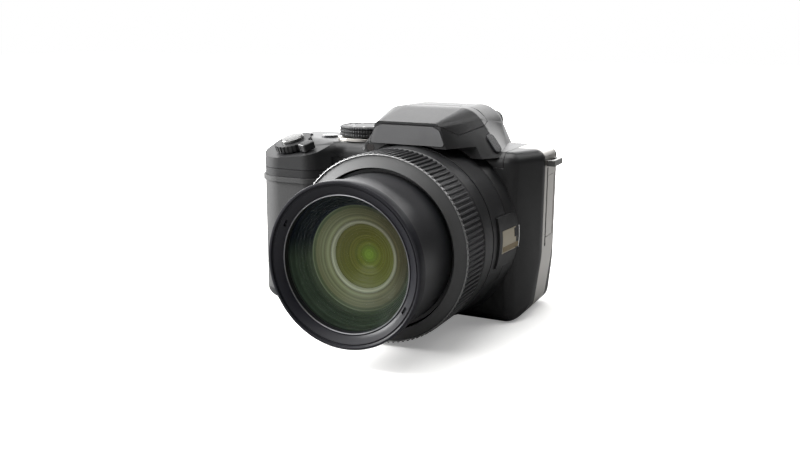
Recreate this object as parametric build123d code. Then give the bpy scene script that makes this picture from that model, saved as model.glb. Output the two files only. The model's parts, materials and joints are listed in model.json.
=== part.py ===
"""A bridge camera with its lens run out, built as an assembly of separate pieces.

The lens looks along -Y, +Z is up, and the hand grip is on the -X side. The origin is on the flat
underside, straight below the lens axis, just behind the front wall. All sizes are in millimetres.
"""
from build123d import *
import math
import os

# Clearances
seat_gap = 0.15
run_gap = 0.06
move_gap = 0.3
cut_over = 3.0

# Body block, seen from above
left_x = -75.0
right_x = 43.0
front_y = -6.0
rear_y = 31.0
grip_front_y = -18.0
grip_inner_x = -47.0
recess_x = -40.0
flank_front_x = 36.0
flank_rear_y = 9.0
grip_nose_round = 13.0
grip_inner_round = 8.0
recess_round = 6.0
flank_round = 5.0
rear_left_round = 9.0
rear_right_round = 5.0

# Body block, seen from the front
deck_z = 68.0
top_round = 4.5
bottom_round = 4.0
flank_lean = 3.2
flank_bend_z = 25.0
flank_bend_round = 60.0
flank_bottom_round = 8.0
wall = 2.2

# Sloping top of the grip
nose_rise_x_share = 0.124
nose_rise_y_share = 0.31

# Parting planes of the casing
band_front_y = 11.0
band_rear_y = 26.0
band_left_x = 31.4
top_seam_z = 62.0
grip_seam_z = 57.0
grip_seam_x = -42.0
seam_gap = 0.2

# Grip skin
skin_thick = 1.0
skin_top_z = 53.5
skin_bottom_z = 4.5
skin_inner_x = -44.0
skin_rear_y = 20.0
lip_height = 2.0
lip_proud = 0.8

# Lens axis and the fixed lens barrels
axis_z = 36.0
housing_front_y = -24.2
housing_shoulder_y = -12.2
housing_front_r = 35.1
housing_rear_r = 36.2
housing_top_z = axis_z + housing_rear_r
spigot_step = 1.4
housing_spigot_r = housing_rear_r - spigot_step
housing_bore_r = 33.2
collar_front_y = -12.0
collar_step = 1.4
collar_r = housing_rear_r + collar_step
tongue_front_y = -20.5
tongue_low_z = 26.0
tongue_high_z = 45.5
tongue_step = 0.5
tongue_r = housing_rear_r + tongue_step
sleeve_front_y = -48.5
sleeve_tip_r = 35.0
sleeve_root_r = 34.3
sleeve_smooth_r = 34.9
sleeve_bore_r = 32.7
rib_rear_y = -33.0
rib_count = 108
rib_width_share = 0.5
silver_ring_width = 0.7
silver_ring_thick = 0.9
name_ring_front_y = -50.5
name_ring_rim_y = -48.95
name_ring_bore_r = 29.9
name_ring_r = 34.2
name_ring_rear_y = -46.8
guide_bore_r = 30.0
guide_wall = 1.0
guide_front_y = -46.5
base_front_y = 7.0
base_thick = 1.5
base_r = 34.2

# Middle barrel and what it carries
mid_front_y = -47.5
mid_rear_y = -9.0
mid_r = 29.4
mid_wall = 1.1
mid_flange_length = 3.0
mid_lip_length = 1.2
carrier_flange_thick = 1.5
carrier_r = 22.3
carrier_wall = 1.3
carrier_front_y = -35.0
zoom_lens_r = 12.0
zoom_lens_edge = 5.0
zoom_lens_bulge = 1.6
iris_thick = 3.0
iris_bore_r = 6.0
iris_rear_y = -24.0

# Front barrel and its glass
front_barrel_rear_y = -26.0
front_barrel_wall = 0.9
front_flange_length = 3.0
ring_front_y = -76.5
ring_rear_y = -72.6
ring_r = 29.1
ring_rim_width = 1.0
ring_lip_r = 23.7
ring_lip_depth = 3.2
notch_width = 4.2
notch_depth = 1.5
notch_angle = 151.0
cell_wall = 3.2
cell_rear_y = -57.0
front_glass_r = 23.3
front_glass_edge = 3.0
front_glass_bulge = 4.0
front_glass_rear_y = -65.5
retainer_width = 1.3
second_glass_r = 20.0
second_glass_edge = 2.5
second_glass_bulge = 2.6
inner_ring_front_y = -55.5
inner_ring_rear_y = -50.5
inner_ring_bore_r = 13.4
inner_ring_face_r = 15.4
rear_glass_edge = 3.0

# Cam ring and zoom drive
cam_bore_r = 31.3
cam_r = 32.1
cam_front_y = -44.0
cam_slot_width = 2.4
cam_slot_count = 3
gear_front_y = -1.0
gear_width = 3.0
gear_module = 0.7
cam_teeth = 96
pinion_teeth = 12
tooth_share = 0.34
tooth_addendum_share = 0.85
tooth_dedendum_share = 1.2
motor_r = 5.2
motor_length = 11.0
motor_shaft_r = 1.0
motor_ear_r = 7.0

# Focus group, sensor and boards
focus_lens_r = 8.0
focus_lens_edge = 3.0
focus_lens_bulge = 0.9
focus_front_y = -3.0
focus_holder_wall = 1.4
rod_r = 1.0
rod_pitch_r = 14.5
rod_front_y = -8.0
rod_eye_r = 2.3
screw_r = 0.8
focus_motor_r = 4.0
focus_motor_length = 8.0
filter_thick = 1.0
filter_half = 7.0
sensor_width = 12.0
sensor_height = 10.0
sensor_thick = 1.2
board_thick = 1.2
sensor_board_half = 13.0
chassis_front_y = 15.0
chassis_thick = 1.0
chassis_left_x = -30.0
main_board_gap = 2.0
main_board_inset = 3.0
chip_size = 12.0
chip_thick = 1.6

# Hump
hump_y = (-26.0, -3.0, 20.0, 33.0)
hump_base_half = (17.5, 31.0, 24.5, 22.0)
hump_top_half = (13.0, 17.6, 19.4, 15.0)
hump_rise = (7.7, 11.8, 11.8, 8.0)
hump_top_z = tuple(housing_top_z + rise for rise in hump_rise)
hump_corner_r = (2.6, 10.0, 10.0, 5.0)
hump_base_z = 66.0
hump_wall = 2.0
brow_overlap = 1.6
brow_low_z = housing_top_z - brow_overlap
brow_floor = 0.8
plate_base_half = 15.5
plate_shoulder_half = 13.3
plate_top_half = 10.6
plate_edge = 0.9
plate_low_z = brow_low_z + plate_edge
plate_shoulder_drop = 2.6
plate_shoulder_z = hump_top_z[0] - plate_shoulder_drop
plate_top_drop = 1.3
plate_top_z = hump_top_z[0] - plate_top_drop
plate_thick = 0.9
plate_proud = 0.35
plate_round = 1.0

# Flash
lid_front_thick = 0.8
lid_front_z = hump_top_z[0] - lid_front_thick
lid_point_y = -18.0
lid_point_drop = 8.8
lid_point_z = hump_top_z[1] - lid_point_drop
lid_rear_drop = 5.2
lid_rear_z = hump_top_z[1] - lid_rear_drop
lid_wall = 1.5
flash_hinge_y = 5.4
knuckle_r = 1.8
knuckle_half = 9.0
flash_pin_r = 0.8
flash_pin_half = 11.5
flash_front_y = -21.8
flash_rear_y = -13.6
flash_rise = 1.5
flash_low_z = housing_top_z + flash_rise
flash_height = 4.9
flash_top_z = flash_low_z + flash_height
flash_half = 9.6
flash_shell = 1.0
flash_tube_r = 1.3
flash_button_y = -4.2
flash_button_drop = 1.2
flash_button_z = housing_top_z - flash_button_drop
flash_button_length = 8.4
flash_button_width = 4.2
flash_button_proud = 0.7
flash_button_root = 2.8
flash_button_travel = 0.5

# Assist lamp
lamp_clear = 2.56
lamp_angle = math.radians(35.12)
lamp_x = -(housing_rear_r + lamp_clear) * math.sin(lamp_angle)
lamp_z = axis_z + (housing_rear_r + lamp_clear) * math.cos(lamp_angle)
lamp_r = 1.7
lamp_boss_wall = 0.9
lamp_thick = 1.0
lamp_front_y = -12.6

# Controls on the deck
shutter_x = -60.5
shutter_y = -8.0
shutter_r = 4.8
shutter_thick = 2.2
shutter_stem_r = 1.5
shutter_stem_length = 3.5
lever_r = 8.0
lever_hub_r = 6.3
lever_height = 2.6
lever_lift = 0.7
lever_tab_length = 5.4
lever_tab_width = 5.6
lever_tab_height = 3.0
lever_tab_angle = -28.0
lever_rib_count = 28
lever_rib_depth = 0.45
drive_button_x = -53.0
drive_button_y = 8.5
drive_button_r = 3.5
power_button_x = -65.0
power_button_y = 9.5
power_button_r = 2.6
top_button_proud = 0.9
button_flange = 0.7
button_flange_thick = 0.8
dial_x = -35.3
dial_y = 8.5
dial_r = 11.1
dial_low_z = 69.6
dial_top_z = 74.1
dial_rib_count = 60
dial_rib_depth = 0.35
dial_groove = 0.5
dial_shaft_r = 2.5
dial_shaft_length = 7.0
dial_clear = 0.9
bezel_r = 11.9
bezel_wall = 2.2
bezel_height = 1.1
top_board_thick = 1.0
top_board_drop = 6.0

# Back of the camera
screen_left_x = -31.0
screen_right_x = 38.0
screen_low_z = 6.0
screen_high_z = 59.0
screen_frame = 3.0
screen_proud = 1.2
screen_round = 2.0
glass_thick = 1.0
panel_thick = 2.2
rear_button_r = 2.5
rear_button_proud = 0.8
rear_button_travel = 0.6
rear_button_places = {
    "record_button": (-41.5, 51.5),
    "menu_button": (-42.0, 38.5),
}
pad_x = -53.5
pad_z = 26.0
pad_r = 9.2
pad_bore_r = 3.9
rest_left_x = -69.0
rest_right_x = -48.0
rest_low_z = 43.0
rest_high_z = 57.0
rest_thick = 1.6
rest_round = 3.0
rear_board_y = 22.6

# Viewfinder
finder_half = 11.0
finder_low_z = 67.0
finder_drop = 2.6
finder_high_z = hump_top_z[3] - finder_drop
finder_wall = 1.2
finder_front_y = 12.0
finder_display_thick = 2.0
finder_lens_y = 25.0
finder_lens_thick = 4.0
eyecup_half = 14.6
eyecup_low_z = 63.6
eyecup_drop = 0.5
eyecup_high_z = hump_top_z[3] - eyecup_drop
eyecup_depth = 9.0
eyecup_wall = 3.4
eyecup_round = 4.0
dioptre_y = 27.0
dioptre_z = 74.0
dioptre_r = 3.4
dioptre_length = 6.0
dioptre_x = -24.2
dioptre_rib_count = 24

# Side door and sockets
door_front_y = 15.6
door_rear_y = 24.6
door_low_z = 32.0
door_high_z = 57.0
door_thick = 1.6
door_pin_r = 0.35
door_pin_reach = 1.5
socket_board_x = 35.6
hdmi_length = 11.2
hdmi_height = 3.4
hdmi_z = 49.5
usb_length = 7.6
usb_height = 2.8
usb_z = 39.0
socket_depth = 4.0
socket_wall = 0.5
socket_y = 19.6

# Badge on the tongue
badge_front_y = -18.0
badge_rear_y = -3.0
badge_low_z = 31.4
badge_high_z = 40.2
badge_thick = 0.7

# Strap lugs
lug_front_y = 12.6
lug_rear_y = 24.0
lug_z = 62.4
lug_thick = 1.6
lug_height = 2.4
lug_reach = 3.4

# Underside
plate_left_x = -40.0
plate_right_x = 29.0
base_plate_front_y = 11.0
base_plate_rear_y = 24.6
base_plate_thick = 1.6
base_plate_round = 3.0
socket_mouth_y = 17.2
chin_front_y = -21.0
chin_front_half = 7.0
chin_rear_half = 11.0
chin_height = 6.0
bush_bore_r = 2.55
bush_length = 6.0
bush_r = 4.6
bush_flange_r = 7.0
bush_flange_thick = 1.2
screw_head_r = 1.9
screw_head_thick = 1.0
screw_shank_r = 0.9
screw_length = 6.0
screw_inset = 3.4

# Battery
bay_left_x = -69.5
bay_right_x = -48.5
bay_front_y = -9.0
bay_rear_y = 19.0
bay_top_z = 50.0
bay_wall = 1.0
battery_height = 42.0
battery_round = 2.0
battery_door_thick = 1.8
latch_length = 8.0
latch_width = 4.0
latch_travel = 2.0


def slab(x, y, z):
    """A box between two planes in each direction."""
    sizes = [high - low for low, high in (x, y, z)]
    centre = [(low + high) / 2 for low, high in (x, y, z)]
    return Pos(*centre) * Box(*sizes)


def rod(radius, start, end):
    """A round bar between two points."""
    way = Vector(*end) - Vector(*start)
    place = Plane(origin=start, z_dir=way)
    return place * Cylinder(radius, way.length, align=(Align.CENTER, Align.CENTER, Align.MIN))


def turned(outline):
    """A ring turned about the lens axis from points given as (y, radius)."""
    section = make_face(Polyline(*[(radius, y) for y, radius in outline], close=True))
    return Pos(0, 0, axis_z) * revolve(section, axis=Axis.Y)


def ring(outer, inner, front, rear):
    """A plain ring about the lens axis between two planes."""
    return turned([(front, inner), (front, outer), (rear, outer), (rear, inner)])


def disc(radius, front, rear):
    """A plain disc about the lens axis between two planes."""
    return rod(radius, (0, front, axis_z), (0, rear, axis_z))


def lens(radius, edge, front_bulge, rear_bulge, rear):
    """A round lens with spherical faces; a negative bulge is hollow. rear is the edge's rear plane."""
    front = rear - edge
    solid = disc(radius, front - max(front_bulge, 0), rear + max(rear_bulge, 0))
    for bulge, apex, side in ((front_bulge, front - front_bulge, -1), (rear_bulge, rear + rear_bulge, 1)):
        ball_r = (radius**2 + bulge**2) / (2 * abs(bulge))
        ball = Pos(0, apex - side * math.copysign(ball_r, bulge), axis_z) * Sphere(ball_r)
        solid = solid & ball if bulge > 0 else solid - ball
    return solid


def moved_in(corners, inset):
    """Corners of a rounded outline, given as (x, y, radius) anticlockwise, moved in by the inset."""
    result = []
    for (ax, ay, _), (bx, by, radius), (cx, cy, _) in zip(
        corners[-1:] + corners[:-1], corners, corners[1:] + corners[:1]
    ):
        before = Vector(bx - ax, by - ay).normalized()
        after = Vector(cx - bx, cy - by).normalized()
        turn = before.X * after.Y - before.Y * after.X
        push = inset / (1 + before.dot(after))
        x = bx - push * (before.Y + after.Y)
        y = by + push * (before.X + after.X)
        result.append((x, y, max(radius - inset * math.copysign(1, turn), 0)))
    return result


def rounded(corners):
    """A flat face whose outline turns each corner with its own radius."""
    starts, ends, arcs = [], [], []
    for (ax, ay, _), (bx, by, radius), (cx, cy, _) in zip(
        corners[-1:] + corners[:-1], corners, corners[1:] + corners[:1]
    ):
        corner = Vector(bx, by)
        back = Vector(ax - bx, ay - by).normalized()
        on = Vector(cx - bx, cy - by).normalized()
        half = math.acos(max(-1, min(1, back.dot(on)))) / 2
        reach = radius / math.tan(half)
        middle = (back + on).normalized() * (radius / math.sin(half) - radius)
        starts.append(corner + back * reach)
        ends.append(corner + on * reach)
        arcs.append(corner + middle if radius > 0 else None)
    edges = []
    for index, middle in enumerate(arcs):
        if middle is not None:
            edges.append(ThreePointArc(starts[index], middle, ends[index]))
        edges.append(Line(ends[index], starts[(index + 1) % len(arcs)]))
    return make_face(edges)


def upright(face, low, high):
    """A face drawn from above, made solid between two heights."""
    return Pos(0, 0, low) * extrude(face, amount=high - low, dir=(0, 0, 1))


def from_front(face, front, rear):
    """A face drawn as (x, z), made solid between two planes across the lens axis."""
    place = Plane(origin=(0, front, 0), x_dir=(1, 0, 0), z_dir=(0, -1, 0))
    return place * extrude(face, amount=front - rear)


def from_side(face, left, right):
    """A face drawn as (y, z), made solid between two planes across the camera."""
    place = Plane(origin=(left, 0, 0), x_dir=(0, 1, 0), z_dir=(1, 0, 0))
    return place * extrude(face, amount=right - left)


def group(*solids):
    """Separate solids that share a node."""
    return Compound(children=list(solids))


def softened(solid, edges, radius):
    """The solid with the given edges rounded."""
    return fillet(edges, radius) if radius > 0 else solid


# Casing forms

def body_corners():
    """The body's outline from above, anticlockwise from the rear left."""
    return [
        (left_x, rear_y, rear_left_round),
        (left_x, grip_front_y, grip_nose_round),
        (grip_inner_x, grip_front_y, grip_inner_round),
        (recess_x, front_y, recess_round),
        (flank_front_x, front_y, flank_round),
        (right_x, flank_rear_y, flank_round),
        (right_x, rear_y, rear_right_round),
    ]


def nose_plane():
    """The sloping top of the grip; its origin is where the shutter button stands."""
    drop = nose_rise_x_share * (recess_x - shutter_x) + nose_rise_y_share * (front_y - shutter_y)
    return Plane(
        origin=(shutter_x, shutter_y, deck_z - drop),
        x_dir=(1, 0, nose_rise_x_share),
        z_dir=(-nose_rise_x_share, -nose_rise_y_share, 1),
    )


def flank_form(inset):
    """Everything within the flank's profile from the front, which draws in towards the base."""
    far = right_x - left_x
    corners = [
        (-far, far, 0),
        (-far, 0, 0),
        (right_x - flank_lean, 0, flank_bottom_round),
        (right_x, flank_bend_z, flank_bend_round),
        (right_x, far, 0),
    ]
    return from_front(rounded(moved_in(corners, inset)), grip_front_y - cut_over, rear_y + cut_over)


def body_form(inset):
    """The body block, smaller by the inset on every side."""
    solid = upright(rounded(moved_in(body_corners(), inset)), inset, deck_z - inset)
    solid = softened(solid, solid.faces().sort_by(Axis.Z)[-1].edges(), top_round - inset)
    solid = softened(solid, solid.faces().sort_by(Axis.Z)[0].edges(), bottom_round - inset)
    reach = right_x - left_x
    above = nose_plane() * Pos(0, 0, reach / 2 - inset) * Box(reach, reach, reach)
    above &= slab((left_x - cut_over, recess_x + cut_over), (-reach, rear_y + cut_over), (0, reach))
    return (solid - above) & flank_form(inset)


def hump_section(index, inset, y):
    """The hump's outline across the lens axis at one of its four stations."""
    top = hump_top_half[index]
    radius = hump_corner_r[index]
    lean = (hump_base_half[index] - top) / (hump_top_z[index] - hump_base_z)
    low = hump_base_z - 3 * inset
    base = top + lean * (hump_top_z[index] - low)
    corners = [
        (-top, hump_top_z[index], radius),
        (-base, low, 0),
        (base, low, 0),
        (top, hump_top_z[index], radius),
    ]
    face = rounded(moved_in(corners, inset))
    return Plane(origin=(0, y, 0), x_dir=(1, 0, 0), z_dir=(0, -1, 0)) * face


def hump_form(inset):
    """The hump, smaller by the inset; its open underside runs down into the body."""
    places = [hump_y[0] + inset, hump_y[1], hump_y[2], hump_y[3] - inset]
    return loft([hump_section(i, inset, y) for i, y in enumerate(places)], ruled=True)


def brow_form():
    """The hump with its front part held clear above the lens barrels."""
    wide = hump_base_half[1] + cut_over
    low_front = slab((-wide, wide), (hump_y[0] - cut_over, lamp_front_y), (0, brow_low_z))
    return hump_form(0) - low_front


def top_zone(gap):
    """The part of the body block that belongs to the top cover, grown by a gap."""
    far = right_x - left_x
    deck = slab((left_x - cut_over, band_left_x + gap), (-far, far), (top_seam_z - gap, far))
    grip = slab((left_x - cut_over, grip_seam_x + gap), (-far, band_rear_y + gap), (grip_seam_z - gap, far))
    return deck + grip


def lid_side_outline(gap):
    """The flash lid's outline seen from the side, grown by a gap, without its knuckle."""
    far = hump_top_z[1] + cut_over
    rear = flash_hinge_y - knuckle_r - seam_gap + gap
    lid_slope = (lid_front_z - lid_point_z) / (lid_point_y - hump_y[0])
    points = [
        (hump_y[0] - cut_over, far),
        (hump_y[0] - cut_over, lid_front_z - gap + cut_over * lid_slope),
        (lid_point_y, lid_point_z - gap),
        (rear, lid_rear_z - gap),
        (rear, far),
    ]
    return make_face(Polyline(*points, close=True))


def lid_zone(gap):
    """The space of the flash lid and its knuckle, grown by a gap."""
    wide = hump_base_half[1] + cut_over
    hinge_z = hinge_axis_z()
    half = knuckle_half + gap
    zone = from_side(lid_side_outline(gap), -wide, wide)
    zone += rod(knuckle_r + gap, (-half, flash_hinge_y, hinge_z), (half, flash_hinge_y, hinge_z))
    web_front = flash_hinge_y - knuckle_r - 2 * seam_gap
    zone += slab((-half, half), (web_front, flash_hinge_y), (hinge_z - gap, hump_top_z[1] + cut_over))
    return zone


# Casing pieces

def hinge_axis_z():
    """The height of the flash lid's hinge."""
    return hump_top_z[1] - knuckle_r


def flash_button_plane():
    """The sloping side face of the hump where the flash button stands."""
    share = (flash_button_y - hump_y[0]) / (hump_y[1] - hump_y[0])
    base = hump_base_half[0] + share * (hump_base_half[1] - hump_base_half[0])
    top = hump_top_half[0] + share * (hump_top_half[1] - hump_top_half[0])
    top_z = hump_top_z[0] + share * (hump_top_z[1] - hump_top_z[0])
    lean = (base - top) / (top_z - hump_base_z)
    rise = (flash_button_z - hump_base_z) / (top_z - hump_base_z)
    base_growth = hump_base_half[1] - hump_base_half[0]
    top_growth = hump_top_half[1] - hump_top_half[0]
    spread = (base_growth + rise * (top_growth - base_growth)) / (hump_y[1] - hump_y[0])
    x = base - lean * (flash_button_z - hump_base_z)
    return Plane(origin=(x, flash_button_y, flash_button_z), x_dir=(-lean, 0, 1), z_dir=(1, -spread, lean))


def control_holes():
    """Everything that is cut through the top cover for its controls."""
    nose = nose_plane()
    holes = nose * Cylinder(lever_hub_r + run_gap, 4 * wall)
    for x, y, radius in (
        (drive_button_x, drive_button_y, drive_button_r),
        (power_button_x, power_button_y, power_button_r),
        (dial_x, dial_y, dial_shaft_r),
    ):
        holes += rod(radius + run_gap, (x, y, deck_z - 2 * wall), (x, y, deck_z + wall))
    outline = SlotOverall(flash_button_length + 2 * run_gap, flash_button_width + 2 * run_gap)
    button = flash_button_plane() * extrude(outline, amount=2 * hump_wall, both=True)
    grow = 2 * button_flange + move_gap
    outline = SlotOverall(flash_button_length + grow, flash_button_width + grow)
    depth = button_flange_thick + flash_button_travel + 2 * move_gap
    pocket = flash_button_plane() * Pos(0, 0, seat_gap - flash_button_root - depth)
    pocket *= extrude(outline, amount=depth)
    wheel = rod(
        dioptre_r + run_gap,
        (dioptre_x - cut_over, dioptre_y, dioptre_z),
        (dioptre_x + dioptre_length + cut_over, dioptre_y, dioptre_z),
    )
    eyepiece = slab(
        (-finder_half - seat_gap, finder_half + seat_gap),
        (hump_y[3] - 2 * hump_wall, hump_y[3] + cut_over),
        (finder_low_z - seat_gap, finder_high_z + seat_gap),
    )
    return holes + button + pocket + wheel + eyepiece


def nameplate_corners():
    """The nameplate's outline from the front, as (x, z, radius)."""
    half = [
        (plate_base_half, plate_low_z, plate_round),
        (plate_shoulder_half, plate_shoulder_z, 2 * plate_round),
        (plate_top_half, plate_top_z, 2 * plate_round),
    ]
    return half + [(-x, z, radius) for x, z, radius in reversed(half)]


def make_nameplate():
    """The bare plate on the front of the brow."""
    front = hump_y[0] - plate_proud
    return from_front(rounded(nameplate_corners()), front, front + plate_thick)


def hump_hollow():
    """The space inside the hump: open to the body, floored under the brow, kept clear of the dial."""
    wall_rear = front_y + wall
    wide = hump_base_half[1] + cut_over
    scoop_r = bezel_r + dial_clear + hump_wall
    around_dial = rod(scoop_r, (dial_x, dial_y, top_seam_z), (dial_x, dial_y, hump_top_z[1]))
    floor = slab((-wide, wide), (hump_y[0], wall_rear), (0, brow_low_z + brow_floor))
    floor += disc(housing_rear_r + move_gap + brow_floor, hump_y[0], wall_rear)
    floor += disc(collar_r + seat_gap + brow_floor, collar_front_y - 2 * seat_gap - brow_floor, wall_rear)
    return hump_form(hump_wall) - (around_dial - body_form(wall)) - floor


def lamp_boss():
    """The round boss of the assist lamp, joined to the floor of the brow."""
    boss_r = lamp_r + lamp_boss_wall
    y = (lamp_front_y, front_y + wall)
    boss = rod(boss_r, (lamp_x, y[0], lamp_z), (lamp_x, y[1], lamp_z))
    return boss + slab((lamp_x, lamp_x + boss_r), y, (lamp_z, brow_low_z + brow_floor))


def make_top_cover():
    """Deck, hump and brow in one shell, with the lamp boss beside the brow."""
    solid = (body_form(0) & top_zone(0)) + brow_form() - body_form(wall) - hump_hollow()
    solid += lamp_boss()
    solid -= disc(housing_rear_r + move_gap, hump_y[0] - cut_over, collar_front_y - seat_gap)
    solid -= disc(collar_r + seat_gap, collar_front_y - 2 * seat_gap, wall)
    solid -= lid_zone(seam_gap)
    dial_space_r = bezel_r + dial_clear
    solid -= rod(dial_space_r, (dial_x, dial_y, deck_z), (dial_x, dial_y, hump_top_z[1] + cut_over))
    solid -= control_holes()
    back = hump_y[0] - plate_proud + plate_thick
    outline = rounded(moved_in(nameplate_corners(), -seat_gap))
    solid -= from_front(outline, hump_y[0] - cut_over, back + seat_gap / 2)
    lamp_back = lamp_front_y + lamp_thick + seat_gap
    solid -= rod(lamp_r + seat_gap, (lamp_x, lamp_front_y - cut_over, lamp_z), (lamp_x, lamp_back, lamp_z))
    hinge_z = hinge_axis_z()
    for side in (-1, 1):
        near = side * (knuckle_half + seam_gap)
        end = side * flash_pin_half
        ear = rod(knuckle_r, (near, flash_hinge_y, hinge_z), (end, flash_hinge_y, hinge_z))
        ear += slab(
            sorted((near, end)), (flash_hinge_y, flash_hinge_y + 2 * knuckle_r), (hinge_z, hump_top_z[1])
        )
        solid += ear
    bore_half = flash_pin_half + seat_gap
    return solid - rod(
        flash_pin_r + run_gap, (-bore_half, flash_hinge_y, hinge_z), (bore_half, flash_hinge_y, hinge_z)
    )


def make_front_cover():
    """The front shell: grip, front wall, flank, collar and the tongue with its badge."""
    far = right_x - left_x
    shell = body_form(0) - body_form(wall)
    zone = slab((left_x - cut_over, right_x + cut_over), (-far, band_front_y), (-cut_over, far))
    zone += slab((left_x - cut_over, band_left_x), (-far, band_rear_y), (-cut_over, far))
    solid = shell & zone
    collar = turned([
        (collar_front_y, housing_spigot_r + seat_gap),
        (collar_front_y, housing_rear_r),
        (front_y, collar_r),
        (front_y + wall, collar_r),
        (front_y + wall, housing_spigot_r + seat_gap),
    ])
    tongue = turned([
        (tongue_front_y, housing_spigot_r + seat_gap),
        (tongue_front_y, tongue_r - wall / 4),
        (front_y, collar_r),
        (front_y, housing_spigot_r + seat_gap),
    ])
    tongue &= slab((0, far), (tongue_front_y, front_y), (tongue_low_z, tongue_high_z))
    chin = upright(
        rounded([
            (-chin_rear_half, front_y + wall, 0),
            (-chin_front_half, chin_front_y, chin_front_half / 2),
            (chin_front_half, chin_front_y, chin_front_half / 2),
            (chin_rear_half, front_y + wall, 0),
        ]),
        0,
        chin_height,
    )
    chin -= disc(housing_rear_r + seat_gap, chin_front_y - cut_over, collar_front_y - seat_gap)
    solid -= top_zone(seam_gap)
    solid += collar + tongue + chin
    solid &= slab((-far, far), (-far, far), (0, far))
    solid -= disc(housing_spigot_r + seat_gap, tongue_front_y - cut_over, front_y + 2 * wall)
    solid -= disc(base_r + move_gap, front_y, base_front_y + base_thick + move_gap)
    solid -= skin_form(seat_gap)
    solid -= badge_form(seat_gap / 2)
    solid -= upright(rounded(moved_in(base_plate_corners(), -seat_gap)), -cut_over, wall + cut_over)
    solid -= battery_door_form(seam_gap, cut_over)
    return solid


def skin_form(gap):
    """The grip skin's space, taken as a layer of the body block, grown by a gap."""
    layer = body_form(0) - body_form(skin_thick + gap)
    far = right_x - left_x
    zone = slab(
        (-far, skin_inner_x + gap), (-far, skin_rear_y + gap), (skin_bottom_z - gap, skin_top_z + gap)
    )
    return layer & zone


def make_grip_skin():
    """The moulded skin round the grip, with a lip along its upper edge."""
    skin = skin_form(0)
    far = right_x - left_x
    lip = upright(rounded(moved_in(body_corners(), -lip_proud)), skin_top_z - lip_height, skin_top_z)
    lip -= body_form(skin_thick / 2)
    lip &= slab((-far, skin_inner_x), (-far, skin_rear_y), (0, far))
    return skin + lip


def badge_form(gap):
    """The badge plate: a thin layer of the tongue's outer surface, grown by a gap."""
    lean = (collar_r - tongue_r + wall / 4) / (front_y - tongue_front_y)
    front_r = tongue_r - wall / 4 + lean * (badge_front_y - tongue_front_y)
    rear_r = front_r + lean * (badge_rear_y - badge_front_y)
    layer = turned([
        (badge_front_y - gap, front_r - badge_thick - gap),
        (badge_front_y - gap, front_r + cut_over * (gap > 0)),
        (front_y + gap, collar_r + cut_over * (gap > 0)),
        (front_y + gap, rear_r - badge_thick - gap - lean * (badge_rear_y - front_y)),
    ])
    far = right_x - left_x
    return layer & slab((0, far), (-far, far), (badge_low_z - gap, badge_high_z + gap))


def make_side_band():
    """The light band down the flank and over the shoulder, open for the sockets."""
    far = right_x - left_x
    shell = body_form(0) - body_form(wall)
    solid = shell & slab(
        (band_left_x + seam_gap, far),
        (band_front_y + seam_gap, band_rear_y - seam_gap),
        (-cut_over, far),
    )
    solid -= slab(
        (right_x - 2 * wall, right_x + cut_over),
        (door_front_y - seam_gap, door_rear_y + seam_gap),
        (door_low_z - seam_gap, door_high_z + seam_gap),
    )
    x = right_x - door_thick / 2
    y = door_rear_y - door_thick / 2
    reach = door_pin_reach + seam_gap
    solid -= rod(door_pin_r, (x, y, door_low_z - reach), (x, y, door_high_z + reach))
    return solid


def make_rear_cover():
    """The back shell with its window, button holes and viewfinder notch."""
    far = right_x - left_x
    shell = body_form(0) - body_form(wall)
    solid = shell & slab((-far, far), (band_rear_y + seam_gap, far), (-cut_over, far))
    solid -= top_zone(seam_gap)
    solid -= slab(
        (screen_left_x + screen_frame, screen_right_x - screen_frame),
        (rear_y - 2 * wall, rear_y + cut_over),
        (screen_low_z + screen_frame, screen_high_z - screen_frame),
    )
    for x, z in rear_button_places.values():
        solid -= rod(rear_button_r + run_gap, (x, rear_y - 2 * wall, z), (x, rear_y + wall, z))
    solid -= rod(pad_r + run_gap, (pad_x, rear_y - 2 * wall, pad_z), (pad_x, rear_y + wall, pad_z))
    rim = from_front(screen_face(0), rear_y - wall / 2, rear_y + screen_proud)
    bed = from_front(screen_face(screen_frame / 2), rear_y - wall, rear_y + 2 * screen_proud)
    return solid + (rim - bed)


# Underside pieces

def base_plate_corners():
    """The base plate's outline from above."""
    return [
        (plate_left_x, base_plate_rear_y, base_plate_round),
        (plate_left_x, base_plate_front_y, base_plate_round),
        (plate_right_x, base_plate_front_y, base_plate_round),
        (plate_right_x, base_plate_rear_y, base_plate_round),
    ]


def base_screw_places():
    """Where the base plate's four screws stand."""
    return [
        (x, y)
        for x in (plate_left_x + screw_inset, plate_right_x - screw_inset)
        for y in (base_plate_front_y + screw_inset, base_plate_rear_y - screw_inset)
    ]


def make_base_plate():
    """The plate that carries the tripod bush and rests on its ledge inside the body."""
    solid = upright(rounded(base_plate_corners()), 0, wall)
    top = wall + base_plate_thick
    solid += upright(rounded(moved_in(base_plate_corners(), -wall)), wall + seat_gap, top)
    solid += upright(rounded(moved_in(base_plate_corners(), wall)), wall, top)
    solid -= rod(bush_r + seat_gap, (0, socket_mouth_y, -cut_over), (0, socket_mouth_y, 2 * wall))
    for x, y in base_screw_places():
        solid -= rod(screw_head_r + seat_gap, (x, y, -cut_over), (x, y, screw_head_thick))
        solid -= rod(screw_shank_r + run_gap, (x, y, -cut_over), (x, y, 3 * wall))
    return solid


def make_tripod_bush():
    """The threaded metal bush of the tripod socket, with its flange above the base plate."""
    top = wall + base_plate_thick + seat_gap
    y = socket_mouth_y
    solid = rod(bush_r, (0, y, 0), (0, y, bush_length))
    solid += rod(bush_flange_r, (0, y, top), (0, y, top + bush_flange_thick))
    return solid - rod(bush_bore_r, (0, y, -cut_over), (0, y, bush_length - wall / 2))


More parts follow.
